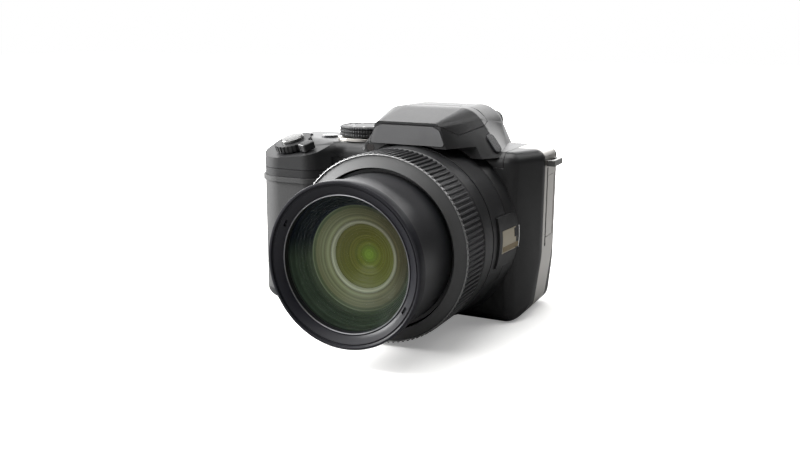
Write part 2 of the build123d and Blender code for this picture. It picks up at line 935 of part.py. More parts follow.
def make_case_screws():
    """The screws that hold the base plate."""
    screws = []
    for x, y in base_screw_places():
        head = rod(screw_head_r, (x, y, seat_gap), (x, y, screw_head_thick))
        cross = Box(screw_head_r, screw_head_r / 4, screw_head_thick)
        cross += Box(screw_head_r / 4, screw_head_r, screw_head_thick)
        shank = rod(screw_shank_r, (x, y, screw_head_thick), (x, y, screw_length))
        screws.append(head + shank - Pos(x, y, seat_gap) * cross)
    return group(*screws)


def battery_door_form(gap, over):
    """The battery door's space in the underside, grown by a gap and by an overrun up and down."""
    corners = [
        (bay_left_x, bay_rear_y, 0),
        (bay_left_x, bay_front_y, 0),
        (bay_right_x, bay_front_y, battery_round),
        (bay_right_x, bay_rear_y, battery_round),
    ]
    return upright(rounded(moved_in(corners, -gap)), -over, battery_door_thick + over)


def make_battery_door():
    """The door under the grip, round along its hinge edge."""
    solid = battery_door_form(0, 0)
    middle = battery_door_thick / 2
    hinge_x = bay_left_x + middle
    solid -= slab((bay_left_x - cut_over, hinge_x), (bay_front_y, bay_rear_y), (-cut_over, deck_z))
    solid += rod(middle, (hinge_x, bay_front_y, middle), (hinge_x, bay_rear_y, middle))
    centre_y = (bay_front_y + bay_rear_y) / 2
    solid -= slab(
        (bay_right_x - latch_length - latch_travel - seam_gap, bay_right_x + cut_over),
        (centre_y - latch_width / 2 - run_gap, centre_y + latch_width / 2 + run_gap),
        (-cut_over, middle),
    )
    return solid


def make_battery_latch():
    """The sliding catch let into the battery door."""
    centre_y = (bay_front_y + bay_rear_y) / 2
    solid = slab(
        (bay_right_x - latch_length, bay_right_x),
        (centre_y - latch_width / 2, centre_y + latch_width / 2),
        (0, battery_door_thick / 2 - run_gap),
    )
    for step in range(4):
        x = bay_right_x - latch_length / 3 - step * latch_length / 8
        solid -= slab((x, x + latch_length / 16), (-deck_z, deck_z), (-cut_over, battery_door_thick / 8))
    return solid


def make_battery_bay():
    """The box inside the grip that holds the battery, open at the bottom."""
    low = wall + seat_gap
    solid = slab((bay_left_x, bay_right_x), (bay_front_y, bay_rear_y), (low, bay_top_z))
    solid -= slab(
        (bay_left_x + bay_wall, bay_right_x - bay_wall),
        (bay_front_y + bay_wall, bay_rear_y - bay_wall),
        (low - cut_over, bay_top_z - bay_wall),
    )
    return solid


def make_battery():
    """The battery in its bay."""
    low = battery_door_thick + seam_gap
    x = (bay_left_x + bay_wall + seat_gap, bay_right_x - bay_wall - seat_gap)
    y = (bay_front_y + bay_wall + seat_gap, bay_rear_y - bay_wall - seat_gap)
    solid = slab(x, y, (low, low + battery_height))
    return fillet(solid.edges().filter_by(Axis.Z), battery_round)


# Fixed lens pieces

def make_lens_housing():
    """The wide ring behind the ribbed sleeve, cut back where the tongue lies."""
    solid = turned([
        (housing_front_y, housing_bore_r),
        (housing_front_y, housing_front_r),
        (housing_shoulder_y, housing_rear_r),
        (housing_shoulder_y, housing_spigot_r),
        (front_y + wall, housing_spigot_r),
        (front_y + wall, housing_bore_r),
    ])
    far = right_x - left_x
    notch = ring(far, housing_spigot_r, tongue_front_y - seam_gap, front_y + cut_over)
    notch &= slab((0, far), (-far, far), (tongue_low_z - seam_gap, tongue_high_z + seam_gap))
    chin_space = slab((-far, far), (-far, far), (-far, 0))
    return solid - notch - chin_space


def rib_outline():
    """A toothed outline for the ribbed sleeve, as one closed line about the lens axis."""
    points = []
    pitch = 2 * math.pi / rib_count
    for index in range(rib_count):
        for radius, share in (
            (sleeve_root_r, -1 / 2),
            (sleeve_root_r, -rib_width_share / 2 - 1 / 8),
            (sleeve_tip_r, -rib_width_share / 2 + 1 / 8),
            (sleeve_tip_r, rib_width_share / 2 - 1 / 8),
            (sleeve_root_r, rib_width_share / 2 + 1 / 8),
        ):
            angle = (index + share) * pitch
            points.append((radius * math.cos(angle), axis_z + radius * math.sin(angle)))
    return make_face(Polyline(*points, close=True))


def make_ribbed_sleeve():
    """The sleeve with ribs on its front half, running out into a smooth rear half."""
    rear = housing_front_y - seam_gap
    solid = from_front(rib_outline(), sleeve_front_y, rib_rear_y)
    solid += disc(sleeve_smooth_r, rib_rear_y, rear)
    return solid - disc(sleeve_bore_r, sleeve_front_y - cut_over, rear + cut_over)


def make_silver_ring():
    """The thin bright ring at the front of the ribbed sleeve."""
    rear = sleeve_front_y - seat_gap / 2
    inner = sleeve_tip_r - silver_ring_width
    return ring(sleeve_tip_r, inner, rear - silver_ring_thick, rear)


def make_name_ring():
    """The bare front ring round the moving barrels, slightly hollow like a dish."""
    rear = sleeve_front_y - seat_gap / 2
    spigot = sleeve_bore_r - seat_gap
    return turned([
        (name_ring_front_y, name_ring_bore_r),
        (name_ring_rim_y, name_ring_r),
        (rear, name_ring_r),
        (rear, spigot),
        (name_ring_rear_y, spigot),
        (name_ring_rear_y, name_ring_bore_r),
    ])


def make_guide_tube():
    """The fixed tube that the middle barrel slides in, with a rear flange on the lens base."""
    outer = guide_bore_r + guide_wall
    rear = base_front_y - seat_gap / 2
    tube = ring(outer, guide_bore_r, guide_front_y, rear)
    return tube + ring(base_r, guide_bore_r, rear - base_thick, rear)


def motor_centre():
    """Where the zoom motor's shaft stands, to the grip side of the lens axis."""
    return (-gear_module * (cam_teeth + pinion_teeth) / 2, axis_z)


def make_lens_base():
    """The metal plate at the back of the lens, with an ear for the zoom motor."""
    x, z = motor_centre()
    rear = base_front_y + base_thick
    solid = disc(base_r, base_front_y, rear)
    solid += rod(motor_ear_r, (x, base_front_y, z), (x, rear, z))
    solid -= slab(
        (-filter_half - seat_gap, filter_half + seat_gap),
        (base_front_y - cut_over, rear + cut_over),
        (axis_z - filter_half - seat_gap, axis_z + filter_half + seat_gap),
    )
    for hole_x, hole_z, hole_r in (
        (-rod_pitch_r, axis_z, rod_r + run_gap / 2),
        (rod_pitch_r, axis_z, rod_r + run_gap / 2),
        (0, axis_z + rod_pitch_r, screw_r + run_gap),
        (x, z, motor_shaft_r + run_gap),
    ):
        solid -= rod(hole_r, (hole_x, base_front_y - cut_over, hole_z), (hole_x, rear + cut_over, hole_z))
    return solid


# Moving lens pieces

def mid_bore():
    """The middle barrel's inner radius."""
    return mid_r - mid_wall


def front_barrel_r():
    """The front barrel's outer radius."""
    return mid_bore() - 5 * run_gap


def make_mid_barrel():
    """The middle barrel, guided at its rear flange and guiding the front barrel."""
    solid = ring(mid_r, mid_bore(), mid_front_y, mid_rear_y)
    solid += ring(guide_bore_r - run_gap, mid_bore(), mid_rear_y - mid_flange_length, mid_rear_y)
    lip_r = front_barrel_r() + run_gap
    return solid + ring(mid_r, lip_r, mid_front_y, mid_front_y + mid_lip_length)


def make_zoom_carrier():
    """The stepped tube at the back of the middle barrel that carries the zoom lens."""
    front = mid_rear_y + seat_gap / 2
    rear = front + carrier_flange_thick
    solid = ring(mid_r, carrier_r - carrier_wall, front, rear)
    solid += ring(carrier_r, carrier_r - carrier_wall, carrier_front_y, rear)
    lip = ring(carrier_r, zoom_lens_r + seat_gap, carrier_front_y, carrier_front_y + zoom_lens_edge)
    return solid + lip


def make_zoom_lens():
    """The lens in the front of the zoom carrier."""
    rear = carrier_front_y + zoom_lens_edge
    return lens(zoom_lens_r, zoom_lens_edge, zoom_lens_bulge, -zoom_lens_bulge / 2, rear)


def make_iris_unit():
    """The iris and shutter block behind the zoom lens."""
    outer = carrier_r - carrier_wall - seat_gap
    return ring(outer, iris_bore_r, iris_rear_y - iris_thick, iris_rear_y)


def make_front_barrel():
    """The front barrel with its rear flange."""
    outer = front_barrel_r()
    inner = outer - front_barrel_wall
    solid = ring(outer, inner, ring_rear_y + seat_gap, front_barrel_rear_y)
    flange_front = front_barrel_rear_y - front_flange_length
    return solid + ring(mid_bore() - run_gap, inner, flange_front, front_barrel_rear_y)


def make_front_ring():
    """The ring round the front glass: a thick rim, a dished face and two bayonet notches."""
    inner = front_barrel_r() - front_barrel_wall - seat_gap
    spigot_rear = ring_rear_y + ring_rim_width
    lip_y = ring_front_y + ring_lip_depth
    solid = turned([
        (ring_front_y, ring_r - ring_rim_width),
        (ring_front_y, ring_r),
        (ring_rear_y, ring_r),
        (ring_rear_y, inner),
        (spigot_rear, inner),
        (spigot_rear, ring_lip_r + ring_rim_width),
        (lip_y + ring_rim_width, ring_lip_r + ring_rim_width),
        (lip_y + ring_rim_width, ring_lip_r),
        (lip_y, ring_lip_r),
        (ring_front_y + ring_rim_width, ring_r - 2 * ring_rim_width),
    ])
    for angle in (notch_angle, notch_angle + 180):
        notch = Box(2 * notch_depth, notch_width, notch_depth)
        notch = Pos(ring_r - ring_rim_width - notch_depth, 0, 0) * notch
        turned_notch = Rot(X=90) * Rot(Z=angle) * notch
        solid -= Pos(0, ring_front_y + notch_depth / 2, axis_z) * turned_notch
    return solid


def make_front_cell():
    """The mount of the front glass inside the front barrel."""
    outer = front_barrel_r() - front_barrel_wall - seat_gap
    inner = front_glass_r + seat_gap
    front = ring_rear_y + ring_rim_width + seat_gap
    solid = ring(outer, inner, front, cell_rear_y)
    ledge_front = front_glass_rear_y + seat_gap / 2
    return solid + ring(outer, second_glass_r + seat_gap, ledge_front, cell_rear_y)


def make_front_glass():
    """The large bulging lens at the front."""
    hollow = -front_glass_bulge / 3
    return lens(front_glass_r, front_glass_edge, front_glass_bulge, hollow, front_glass_rear_y)


def make_glass_retainer():
    """The thin ring that holds the front glass against its ledge."""
    front = ring_front_y + ring_lip_depth + ring_rim_width + seat_gap
    rear = front_glass_rear_y - front_glass_edge - front_glass_bulge / 8 - seat_gap
    return ring(front_glass_r, front_glass_r - retainer_width, front, rear)


def make_second_glass():
    """The lens behind the front glass, in the same mount."""
    rear = cell_rear_y - second_glass_bulge
    return lens(second_glass_r, second_glass_edge, second_glass_bulge, second_glass_bulge / 2, rear)


def make_inner_ring():
    """The ring with a pale face that shows through the front glass, and its mount."""
    outer = front_barrel_r() - front_barrel_wall - seat_gap
    middle = (inner_ring_front_y + inner_ring_rear_y) / 2
    return turned([
        (inner_ring_front_y, inner_ring_bore_r),
        (inner_ring_front_y, inner_ring_face_r),
        (middle, inner_ring_face_r + cell_wall),
        (middle, outer),
        (inner_ring_rear_y, outer),
        (inner_ring_rear_y, inner_ring_bore_r),
    ])


def make_inner_glass():
    """The hollow lens in the pale ring."""
    radius = inner_ring_bore_r - seat_gap
    return lens(radius, rear_glass_edge, -rear_glass_edge / 4, -rear_glass_edge / 4, inner_ring_rear_y)


# Zoom drive

def gear_outline(teeth, centre_x, centre_z, first):
    """A toothed outline whose first tooth points along the angle first."""
    pitch_r = gear_module * teeth / 2
    tip_r = pitch_r + tooth_addendum_share * gear_module
    root_r = pitch_r - tooth_dedendum_share * gear_module
    step = 2 * math.pi / teeth
    points = []
    for index in range(teeth):
        for radius, share in (
            (root_r, -tooth_share * 3 / 4),
            (tip_r, -tooth_share / 4),
            (tip_r, tooth_share / 4),
            (root_r, tooth_share * 3 / 4),
        ):
            angle = first + (index + share) * step
            points.append((centre_x + radius * math.cos(angle), centre_z + radius * math.sin(angle)))
    return make_face(Polyline(*points, close=True))


def make_cam_ring():
    """The ring that drives the barrels: slanting slots, and a toothed rim at its rear."""
    gear_rear = gear_front_y + gear_width
    solid = ring(cam_r, cam_bore_r, cam_front_y, gear_rear)
    rim = from_front(gear_outline(cam_teeth, 0, axis_z, math.pi), gear_front_y, gear_rear)
    solid += rim - disc(cam_bore_r, gear_front_y - cut_over, gear_rear + cut_over)
    slot_steps = 7
    length = (gear_front_y - cam_front_y) * 3 / 4
    for slot in range(cam_slot_count):
        for step in range(slot_steps):
            angle = 360 * slot / cam_slot_count + step * 90 / slot_steps
            y = (cam_front_y + gear_front_y - length) / 2 + length * (step + 1 / 2) / slot_steps
            reach = (cam_bore_r - cam_slot_width, cam_r + cam_slot_width)
            cutter = rod(cam_slot_width / 2, (reach[0], 0, 0), (reach[1], 0, 0))
            solid -= Pos(0, y, axis_z) * Rot(Y=angle) * cutter
    return solid


def make_zoom_pinion():
    """The motor's pinion on its shaft."""
    x, z = motor_centre()
    rear = gear_front_y + gear_width
    solid = from_front(gear_outline(pinion_teeth, x, z, math.pi / pinion_teeth), gear_front_y, rear)
    return solid + rod(motor_shaft_r, (x, rear, z), (x, base_front_y + base_thick - seat_gap, z))


def make_zoom_motor():
    """The round motor on the back of the lens base."""
    x, z = motor_centre()
    front = base_front_y + base_thick + seat_gap / 2
    solid = rod(motor_r, (x, front, z), (x, front + motor_length, z))
    rear = front + motor_length
    return solid + rod(2 * motor_shaft_r, (x, rear, z), (x, rear + motor_shaft_r, z))


# Focus and sensor

def make_focus_holder():
    """The small sliding frame round the focus lens, with an eye on each guide rod."""
    rear = focus_front_y + focus_lens_edge + 2 * focus_holder_wall
    outer = focus_lens_r + focus_holder_wall
    solid = disc(outer, focus_front_y, rear)
    for x in (-rod_pitch_r, rod_pitch_r):
        solid += rod(rod_eye_r, (x, focus_front_y, axis_z), (x, rear, axis_z))
        arm = sorted((x, x * outer / rod_pitch_r / 2))
        solid += slab(arm, (focus_front_y, rear), (axis_z - rod_r, axis_z + rod_r))
    nut_z = axis_z + rod_pitch_r
    solid += rod(rod_eye_r, (0, focus_front_y, nut_z), (0, rear, nut_z))
    solid += slab((-rod_r, rod_r), (focus_front_y, rear), (axis_z + focus_lens_r, nut_z))
    for x in (-rod_pitch_r, rod_pitch_r):
        solid -= rod(rod_r + run_gap, (x, focus_front_y - cut_over, axis_z), (x, rear + cut_over, axis_z))
    solid -= rod(screw_r + run_gap, (0, focus_front_y - cut_over, nut_z), (0, rear + cut_over, nut_z))
    solid -= disc(focus_lens_r + seat_gap, focus_front_y + focus_holder_wall, rear + cut_over)
    return solid - disc(focus_lens_r - focus_holder_wall, focus_front_y - cut_over, rear + cut_over)


def make_focus_lens():
    """The small lens that focuses."""
    rear = focus_front_y + focus_holder_wall + focus_lens_edge + seat_gap
    return lens(focus_lens_r, focus_lens_edge, focus_lens_bulge, focus_lens_bulge, rear)


def make_guide_rods():
    """The two rods that the focus frame slides on."""
    rear = base_front_y + base_thick
    rods = [rod(rod_r, (x, rod_front_y, axis_z), (x, rear, axis_z)) for x in (-rod_pitch_r, rod_pitch_r)]
    return group(*rods)


def make_focus_motor():
    """The small motor behind the lens base with its lead screw."""
    z = axis_z + rod_pitch_r
    front = base_front_y + base_thick + seat_gap / 2
    body = rod(focus_motor_r, (0, front, z), (0, front + focus_motor_length * 3 / 5, z))
    return body + rod(screw_r, (0, rod_front_y, z), (0, front, z))


def make_sensor_filter():
    """The square glass in front of the sensor, let into the lens base."""
    front = base_front_y + (base_thick - filter_thick) / 2
    z = (axis_z - filter_half, axis_z + filter_half)
    return slab((-filter_half, filter_half), (front, front + filter_thick), z)


def sensor_front():
    """The sensor's front plane."""
    return base_front_y + base_thick + seat_gap


def make_image_sensor():
    """The image sensor behind its filter."""
    front = sensor_front()
    return slab(
        (-sensor_width / 2, sensor_width / 2),
        (front, front + sensor_thick),
        (axis_z - sensor_height / 2, axis_z + sensor_height / 2),
    )


def make_sensor_board():
    """The board behind the sensor, notched for the focus motor."""
    front = sensor_front() + sensor_thick
    high = axis_z + rod_pitch_r - focus_motor_r - move_gap
    z = (axis_z - sensor_board_half, min(axis_z + sensor_board_half, high))
    return slab((-sensor_board_half, sensor_board_half), (front, front + board_thick), z)


# Frame and boards inside the body

def inner_plate(front, thick, left, right, low, high):
    """A plate across the camera that fills the body's inside between the given limits."""
    return body_form(wall + seat_gap) & slab((left, right), (front, front + thick), (low, high))


def make_chassis():
    """The metal frame behind the lens that the boards stand on."""
    far = right_x
    low = wall + base_plate_thick + seat_gap
    solid = inner_plate(chassis_front_y, chassis_thick, chassis_left_x, far, low, top_seam_z)
    window = slab(
        (-sensor_board_half, sensor_board_half),
        (chassis_front_y - cut_over, chassis_front_y + cut_over),
        (axis_z - sensor_board_half, axis_z + sensor_board_half / 2),
    )
    foot_y = (chassis_front_y + chassis_thick, chassis_front_y + 3 * chassis_thick)
    foot = slab((chassis_left_x, plate_right_x), foot_y, (low, low + chassis_thick))
    bush_space = rod(
        bush_flange_r + seat_gap, (0, socket_mouth_y, 0), (0, socket_mouth_y, bush_length + seat_gap)
    )
    posts = []
    for x in (chassis_left_x + main_board_inset, plate_right_x - main_board_inset):
        for z in (low + 3 * main_board_inset, top_seam_z - 3 * main_board_inset):
            start = chassis_front_y + chassis_thick
            posts.append(rod(rod_r, (x, start, z), (x, start + main_board_gap - seat_gap / 2, z)))
    solid = solid - window + foot - bush_space
    for post in posts:
        solid += post
    for x, y in base_screw_places():
        solid -= rod(screw_shank_r + run_gap, (x, y, low - cut_over), (x, y, screw_length + seat_gap))
    return solid


def make_main_board():
    """The main board on the back of the frame, with its chips."""
    front = chassis_front_y + chassis_thick + main_board_gap
    low = wall + base_plate_thick + 2 * main_board_inset
    x = (chassis_left_x, plate_right_x + main_board_inset)
    solid = slab(x, (front, front + board_thick), (low, top_seam_z - main_board_inset))
    rear = front + board_thick
    for x, z, size in (
        (0, axis_z, chip_size),
        (-chip_size, axis_z - chip_size, chip_size / 2),
        (chip_size, axis_z + chip_size, chip_size / 2),
    ):
        solid += slab((x - size / 2, x + size / 2), (rear, rear + chip_thick), (z - size / 2, z + size / 2))
    return solid


def make_rear_board():
    """The board behind the rear buttons, with one switch under each."""
    y = (rear_board_y, rear_board_y + board_thick)
    solid = slab((bay_left_x, chassis_left_x - main_board_inset), y, (skin_bottom_z, grip_seam_z))
    top = rear_y - wall - seat_gap - button_flange_thick - rear_button_travel - seat_gap
    for x, z in rear_button_places.values():
        solid += rod(rear_button_r / 2, (x, y[1], z), (x, top, z))
    for x, z in ((pad_x, pad_z), (pad_x, pad_z + pad_r * 2 / 3), (pad_x, pad_z - pad_r * 2 / 3)):
        solid += rod(rear_button_r / 2, (x, y[1], z), (x, top, z))
    right = chassis_left_x - seat_gap
    side = slab((right - 2 * motor_shaft_r, right), (chassis_front_y, y[0]), (skin_bottom_z, axis_z))
    return solid + side


def make_flash_capacitor():
    """The flash's storage capacitor, upright in front of the rear board."""
    radius = motor_r
    x = bay_right_x + radius + seat_gap
    y = bay_rear_y - radius
    return rod(radius, (x, y, skin_bottom_z), (x, y, skin_bottom_z + 5 * radius))


# Deck controls

def make_shutter_button():
    """The domed release button on its stem, inside the zoom lever's ring."""
    low = lever_lift + lever_height - shutter_thick / 3
    cap = Pos(0, 0, low + shutter_thick / 2) * Cylinder(shutter_r, shutter_thick)
    cap = fillet(cap.edges().sort_by(Axis.Z)[-1:], shutter_thick / 3)
    stem_low = -shutter_stem_length
    stem = Pos(0, 0, (low + stem_low) / 2) * Cylinder(shutter_stem_r, low - stem_low)
    return nose_plane() * (cap + stem)


def make_zoom_lever():
    """The ribbed ring round the shutter button, with a finger tab at its front."""
    body = Pos(0, 0, lever_lift + lever_height / 2) * Cylinder(lever_r, lever_height)
    tab = Pos(lever_r + lever_tab_length / 2 - lever_rib_depth, 0, lever_lift + lever_tab_height / 2) * Box(
        lever_tab_length, lever_tab_width, lever_tab_height
    )
    tab = fillet(tab.edges().filter_by(Axis.Z), lever_tab_width / 5)
    tab = fillet(tab.edges().group_by(Axis.Z)[-1], lever_tab_height / 5)
    for index in range(lever_rib_count):
        angle = 360 * index / lever_rib_count
        cut = Rot(Z=angle) * Pos(lever_r, 0, 0) * Box(2 * lever_rib_depth, lever_r / 10, 4 * lever_height)
        body -= cut
    hub_low = -wall - lever_lift
    hub = Pos(0, 0, (hub_low + lever_lift) / 2) * Cylinder(lever_hub_r, lever_lift - hub_low)
    solid = body + Rot(Z=lever_tab_angle) * tab + hub
    return nose_plane() * (solid - Cylinder(shutter_r + run_gap, 8 * lever_height))


def top_button(x, y, radius, thick):
    """A round deck button with a flange under the deck."""
    low = deck_z - wall - run_gap - seat_gap
    solid = rod(radius, (x, y, low), (x, y, deck_z + thick))
    solid = fillet(solid.edges().sort_by(Axis.Z)[-1:], thick / 2)
    return solid + rod(radius + button_flange, (x, y, low - button_flange_thick), (x, y, low))


def make_drive_button():
    """The button behind the shutter release."""
    return top_button(drive_button_x, drive_button_y, drive_button_r, top_button_proud)


def make_power_button():
    """The small on and off button."""
    return top_button(power_button_x, power_button_y, power_button_r, top_button_proud)


def make_mode_dial():
    """The ribbed dial with two grooves round its rim, on its shaft."""
    height = dial_top_z - dial_low_z
    solid = rod(dial_r, (dial_x, dial_y, dial_low_z), (dial_x, dial_y, dial_top_z))
    solid = fillet(solid.edges().sort_by(Axis.Z)[-1:], dial_groove)
    for index in range(dial_rib_count):
        angle = 360 * index / dial_rib_count
        cut = Pos(dial_r, 0, 0) * Box(2 * dial_rib_depth, dial_r / 25, 3 * height)
        solid -= Pos(dial_x, dial_y, dial_low_z) * Rot(Z=angle) * cut
    for share in (1 / 3, 2 / 3):
        z = dial_low_z + share * height
        low = z - dial_groove / 2
        band = rod(dial_r + cut_over, (dial_x, dial_y, low), (dial_x, dial_y, low + dial_groove))
        core = rod(dial_r - dial_groove, (dial_x, dial_y, z - height), (dial_x, dial_y, z + height))
        solid -= band - core
    shaft_low = deck_z - dial_shaft_length
    return solid + rod(dial_shaft_r, (dial_x, dial_y, shaft_low), (dial_x, dial_y, dial_low_z))


def make_dial_bezel():
    """The bright ring on the deck under the dial."""
    low = deck_z + seat_gap / 2
    high = low + bezel_height
    outer = rod(bezel_r, (dial_x, dial_y, low), (dial_x, dial_y, high))
    return outer - rod(bezel_r - bezel_wall, (dial_x, dial_y, low - wall), (dial_x, dial_y, high + wall))


def make_top_board():
    """The small board under the deck with the switches of the shutter and deck buttons."""
    high = deck_z - wall - top_board_drop
    right = dial_x - dial_shaft_r - move_gap
    y = (drive_button_y - drive_button_r, drive_button_y + 2 * drive_button_r)
    solid = inner_plate(y[0], y[1] - y[0], left_x, right, high - top_board_thick, high)
    top = deck_z - wall - run_gap - seat_gap - button_flange_thick - top_button_proud
    for x, button_y in ((drive_button_x, drive_button_y), (power_button_x, power_button_y)):
        solid += rod(shutter_stem_r, (x, button_y, high), (x, button_y, top))
    arm_y = (shutter_y - shutter_stem_r, y[0])
    arm_x = (shutter_x - shutter_stem_r, shutter_x + shutter_stem_r)
    return solid + slab(arm_x, arm_y, (high - top_board_thick, high))


# Flash

def make_flash_lid():
    """The front top of the hump, which swings up on its knuckle."""
    hinge_z = hinge_axis_z()
    solid = (hump_form(0) & lid_zone(0)) - hump_form(lid_wall)
    wide = hump_base_half[1] + cut_over
    sweep_r = math.hypot(knuckle_r, knuckle_r) + seam_gap
    for side in (-1, 1):
        span = sorted((side * (knuckle_half + seam_gap), side * wide))
        clear = flash_hinge_y - knuckle_r - seam_gap
        solid -= slab(span, (clear, flash_hinge_y + 2 * knuckle_r), (lid_point_z, hump_top_z[1] + cut_over))
        solid -= rod(sweep_r, (span[0], flash_hinge_y, hinge_z), (span[1], flash_hinge_y, hinge_z))
    solid += rod(knuckle_r, (-knuckle_half, flash_hinge_y, hinge_z), (knuckle_half, flash_hinge_y, hinge_z))
    bore_r = flash_pin_r + run_gap
    bore_half = 2 * knuckle_half
    return solid - rod(bore_r, (-bore_half, flash_hinge_y, hinge_z), (bore_half, flash_hinge_y, hinge_z))


def make_flash_pin():
    """The flash lid's hinge pin, held by the ears of the top cover."""
    half = flash_pin_half
    return rod(flash_pin_r, (-half, flash_hinge_y, hinge_axis_z()), (half, flash_hinge_y, hinge_axis_z()))


def make_flash_head():
    """The box under the lid that holds the reflector, open to the front."""
    solid = slab((-flash_half, flash_half), (flash_front_y, flash_rear_y), (flash_low_z, flash_top_z))
    solid -= slab(
        (-flash_half + flash_shell, flash_half - flash_shell),
        (flash_front_y - cut_over, flash_rear_y - flash_shell),
        (flash_low_z + flash_shell, flash_top_z - flash_shell),
    )
    return solid


def make_flash_reflector():
    """The polished trough round the tube."""
    gap = flash_shell + seat_gap
    front = flash_front_y + 2 * flash_shell + seat_gap
    rear = flash_rear_y - gap
    low = flash_low_z + gap
    high = flash_top_z - gap
    middle = (low + high) / 2
    half = (high - low) / 2
    thick = flash_shell / 2
    points = [
        (front, low),
        (front, low + thick),
        (rear - half + thick, middle - half / 2),
        (rear - thick, middle),
        (rear - half + thick, middle + half / 2),
        (front, high - thick),
        (front, high),
        (rear, high),
        (rear, low),
    ]
    outline = make_face(Polyline(*points, close=True))
    return from_side(outline, -flash_half + gap, flash_half - gap)


def make_flash_tube():
    """The flash's glass tube, held in the ends of its box."""
    middle = (flash_low_z + flash_top_z) / 2
    y = flash_front_y + 3 * flash_shell + 2 * flash_tube_r
    half = flash_half - flash_shell - seat_gap
    return rod(flash_tube_r, (-half, y, middle), (half, y, middle))


def make_flash_window():
    """The clear window in the flash's mouth."""
    gap = flash_shell + seat_gap
    return slab(
        (-flash_half + gap, flash_half - gap),
        (flash_front_y, flash_front_y + 2 * flash_shell),
        (flash_low_z + gap, flash_top_z - gap),
    )


def make_flash_button():
    """The oval button on the side of the hump that frees the flash."""
    low = -flash_button_root
    body = extrude(SlotOverall(flash_button_length, flash_button_width), amount=flash_button_proud - low)
    body = Pos(0, 0, low) * body
    body = fillet(body.faces().sort_by(Axis.Z)[-1].edges(), flash_button_proud / 2)
    flange = Pos(0, 0, low - button_flange_thick) * extrude(
        SlotOverall(flash_button_length + 2 * button_flange, flash_button_width + 2 * button_flange),
        amount=button_flange_thick,
    )
    return flash_button_plane() * (body + flange)


def make_lamp_window():
    """The round window of the assist lamp."""
    rear = lamp_front_y + lamp_thick
    return rod(lamp_r, (lamp_x, lamp_front_y, lamp_z), (lamp_x, rear, lamp_z))


# Back of the camera

def screen_face(inset):
    """The screen's outline from the front, smaller by the inset."""
    corners = [
        (screen_left_x, screen_high_z, screen_round),
        (screen_left_x, screen_low_z, screen_round),
        (screen_right_x, screen_low_z, screen_round),
        (screen_right_x, screen_high_z, screen_round),
    ]
    return rounded(moved_in(corners, inset))


def make_screen_glass():
    """The flat cover glass of the screen, inside its raised frame."""
    low = rear_y + seat_gap / 2
    return from_front(screen_face(screen_frame / 2 + seat_gap), low, low + glass_thick)


def make_screen_panel():
    """The display behind the cover glass."""
    inset = screen_frame + seat_gap
    return slab(
        (screen_left_x + inset, screen_right_x - inset),
        (rear_y - seat_gap - panel_thick, rear_y - seat_gap),
        (screen_low_z + inset, screen_high_z - inset),
    )


def rear_button(x, z):
    """A round rear button with a flange behind the cover."""
    inside = rear_y - wall - seat_gap
    solid = rod(rear_button_r, (x, inside, z), (x, rear_y + rear_button_proud, z))
    solid = fillet(solid.edges().sort_by(Axis.Y)[-1:], rear_button_proud / 2)
    return solid + rod(rear_button_r + button_flange, (x, inside - button_flange_thick, z), (x, inside, z))


def make_pad_ring():
    """The four-way pad, with a bore for its centre button and a flange behind the cover."""
    inside = rear_y - wall - seat_gap
    solid = rod(pad_r, (pad_x, inside, pad_z), (pad_x, rear_y + rear_button_proud, pad_z))
    solid = fillet(solid.edges().sort_by(Axis.Y)[-1:], rear_button_proud / 2)
    front = inside - button_flange_thick
    solid += rod(pad_r + button_flange, (pad_x, front, pad_z), (pad_x, inside, pad_z))
    return solid - rod(pad_bore_r, (pad_x, front - cut_over, pad_z), (pad_x, rear_y + cut_over, pad_z))


def make_centre_button():
    """The button in the middle of the pad."""
    radius = pad_bore_r - run_gap
    inside = rear_y - wall - seat_gap - button_flange_thick
    solid = rod(radius, (pad_x, inside, pad_z), (pad_x, rear_y + rear_button_proud, pad_z))
    return fillet(solid.edges().sort_by(Axis.Y)[-1:], rear_button_proud / 2)


def make_thumb_rest():
    """The soft pad on the back for the thumb."""
    corners = [
        (rest_left_x, rest_high_z, rest_round),
        (rest_left_x, rest_low_z, rest_round),
        (rest_right_x, rest_low_z, rest_round),
        (rest_right_x, rest_high_z, rest_round),
    ]
    low = rear_y + seat_gap / 2
    solid = from_front(rounded(corners), low, low + rest_thick)
    return fillet(solid.faces().sort_by(Axis.Y)[-1].edges(), rest_thick / 2)


# Viewfinder

def make_finder_tube():
    """The square tube of the viewfinder inside the hump."""
    rear = hump_y[3]
    low, high = finder_low_z, finder_high_z
    solid = slab((-finder_half, finder_half), (finder_front_y, rear), (low, high))
    return solid - slab(
        (-finder_half + finder_wall, finder_half - finder_wall),
        (finder_front_y + finder_wall, rear + cut_over),
        (low + finder_wall, high - finder_wall),
    )


def make_finder_display():
    """The small display at the front of the viewfinder."""
    gap = finder_wall + seat_gap
    front = finder_front_y + gap
    return slab(
        (-finder_half + gap, finder_half - gap),
        (front, front + finder_display_thick),
        (finder_low_z + gap, finder_high_z - gap),
    )


def make_finder_lens():
    """The viewfinder's lens, cut square to fit its tube."""
    gap = finder_wall + seat_gap
    middle = (finder_low_z + finder_high_z) / 2
    bulge = finder_lens_thick / 4
    ball_r = (finder_half**2 + bulge**2) / (2 * bulge)
    rear = finder_lens_y + finder_lens_thick
    solid = slab(
        (-finder_half + gap, finder_half - gap),
        (finder_lens_y, rear),
        (finder_low_z + gap, finder_high_z - gap),
    )
    for ball_y in (finder_lens_y + ball_r, rear - ball_r):
        solid &= Pos(0, ball_y, middle) * Sphere(ball_r)
    return solid


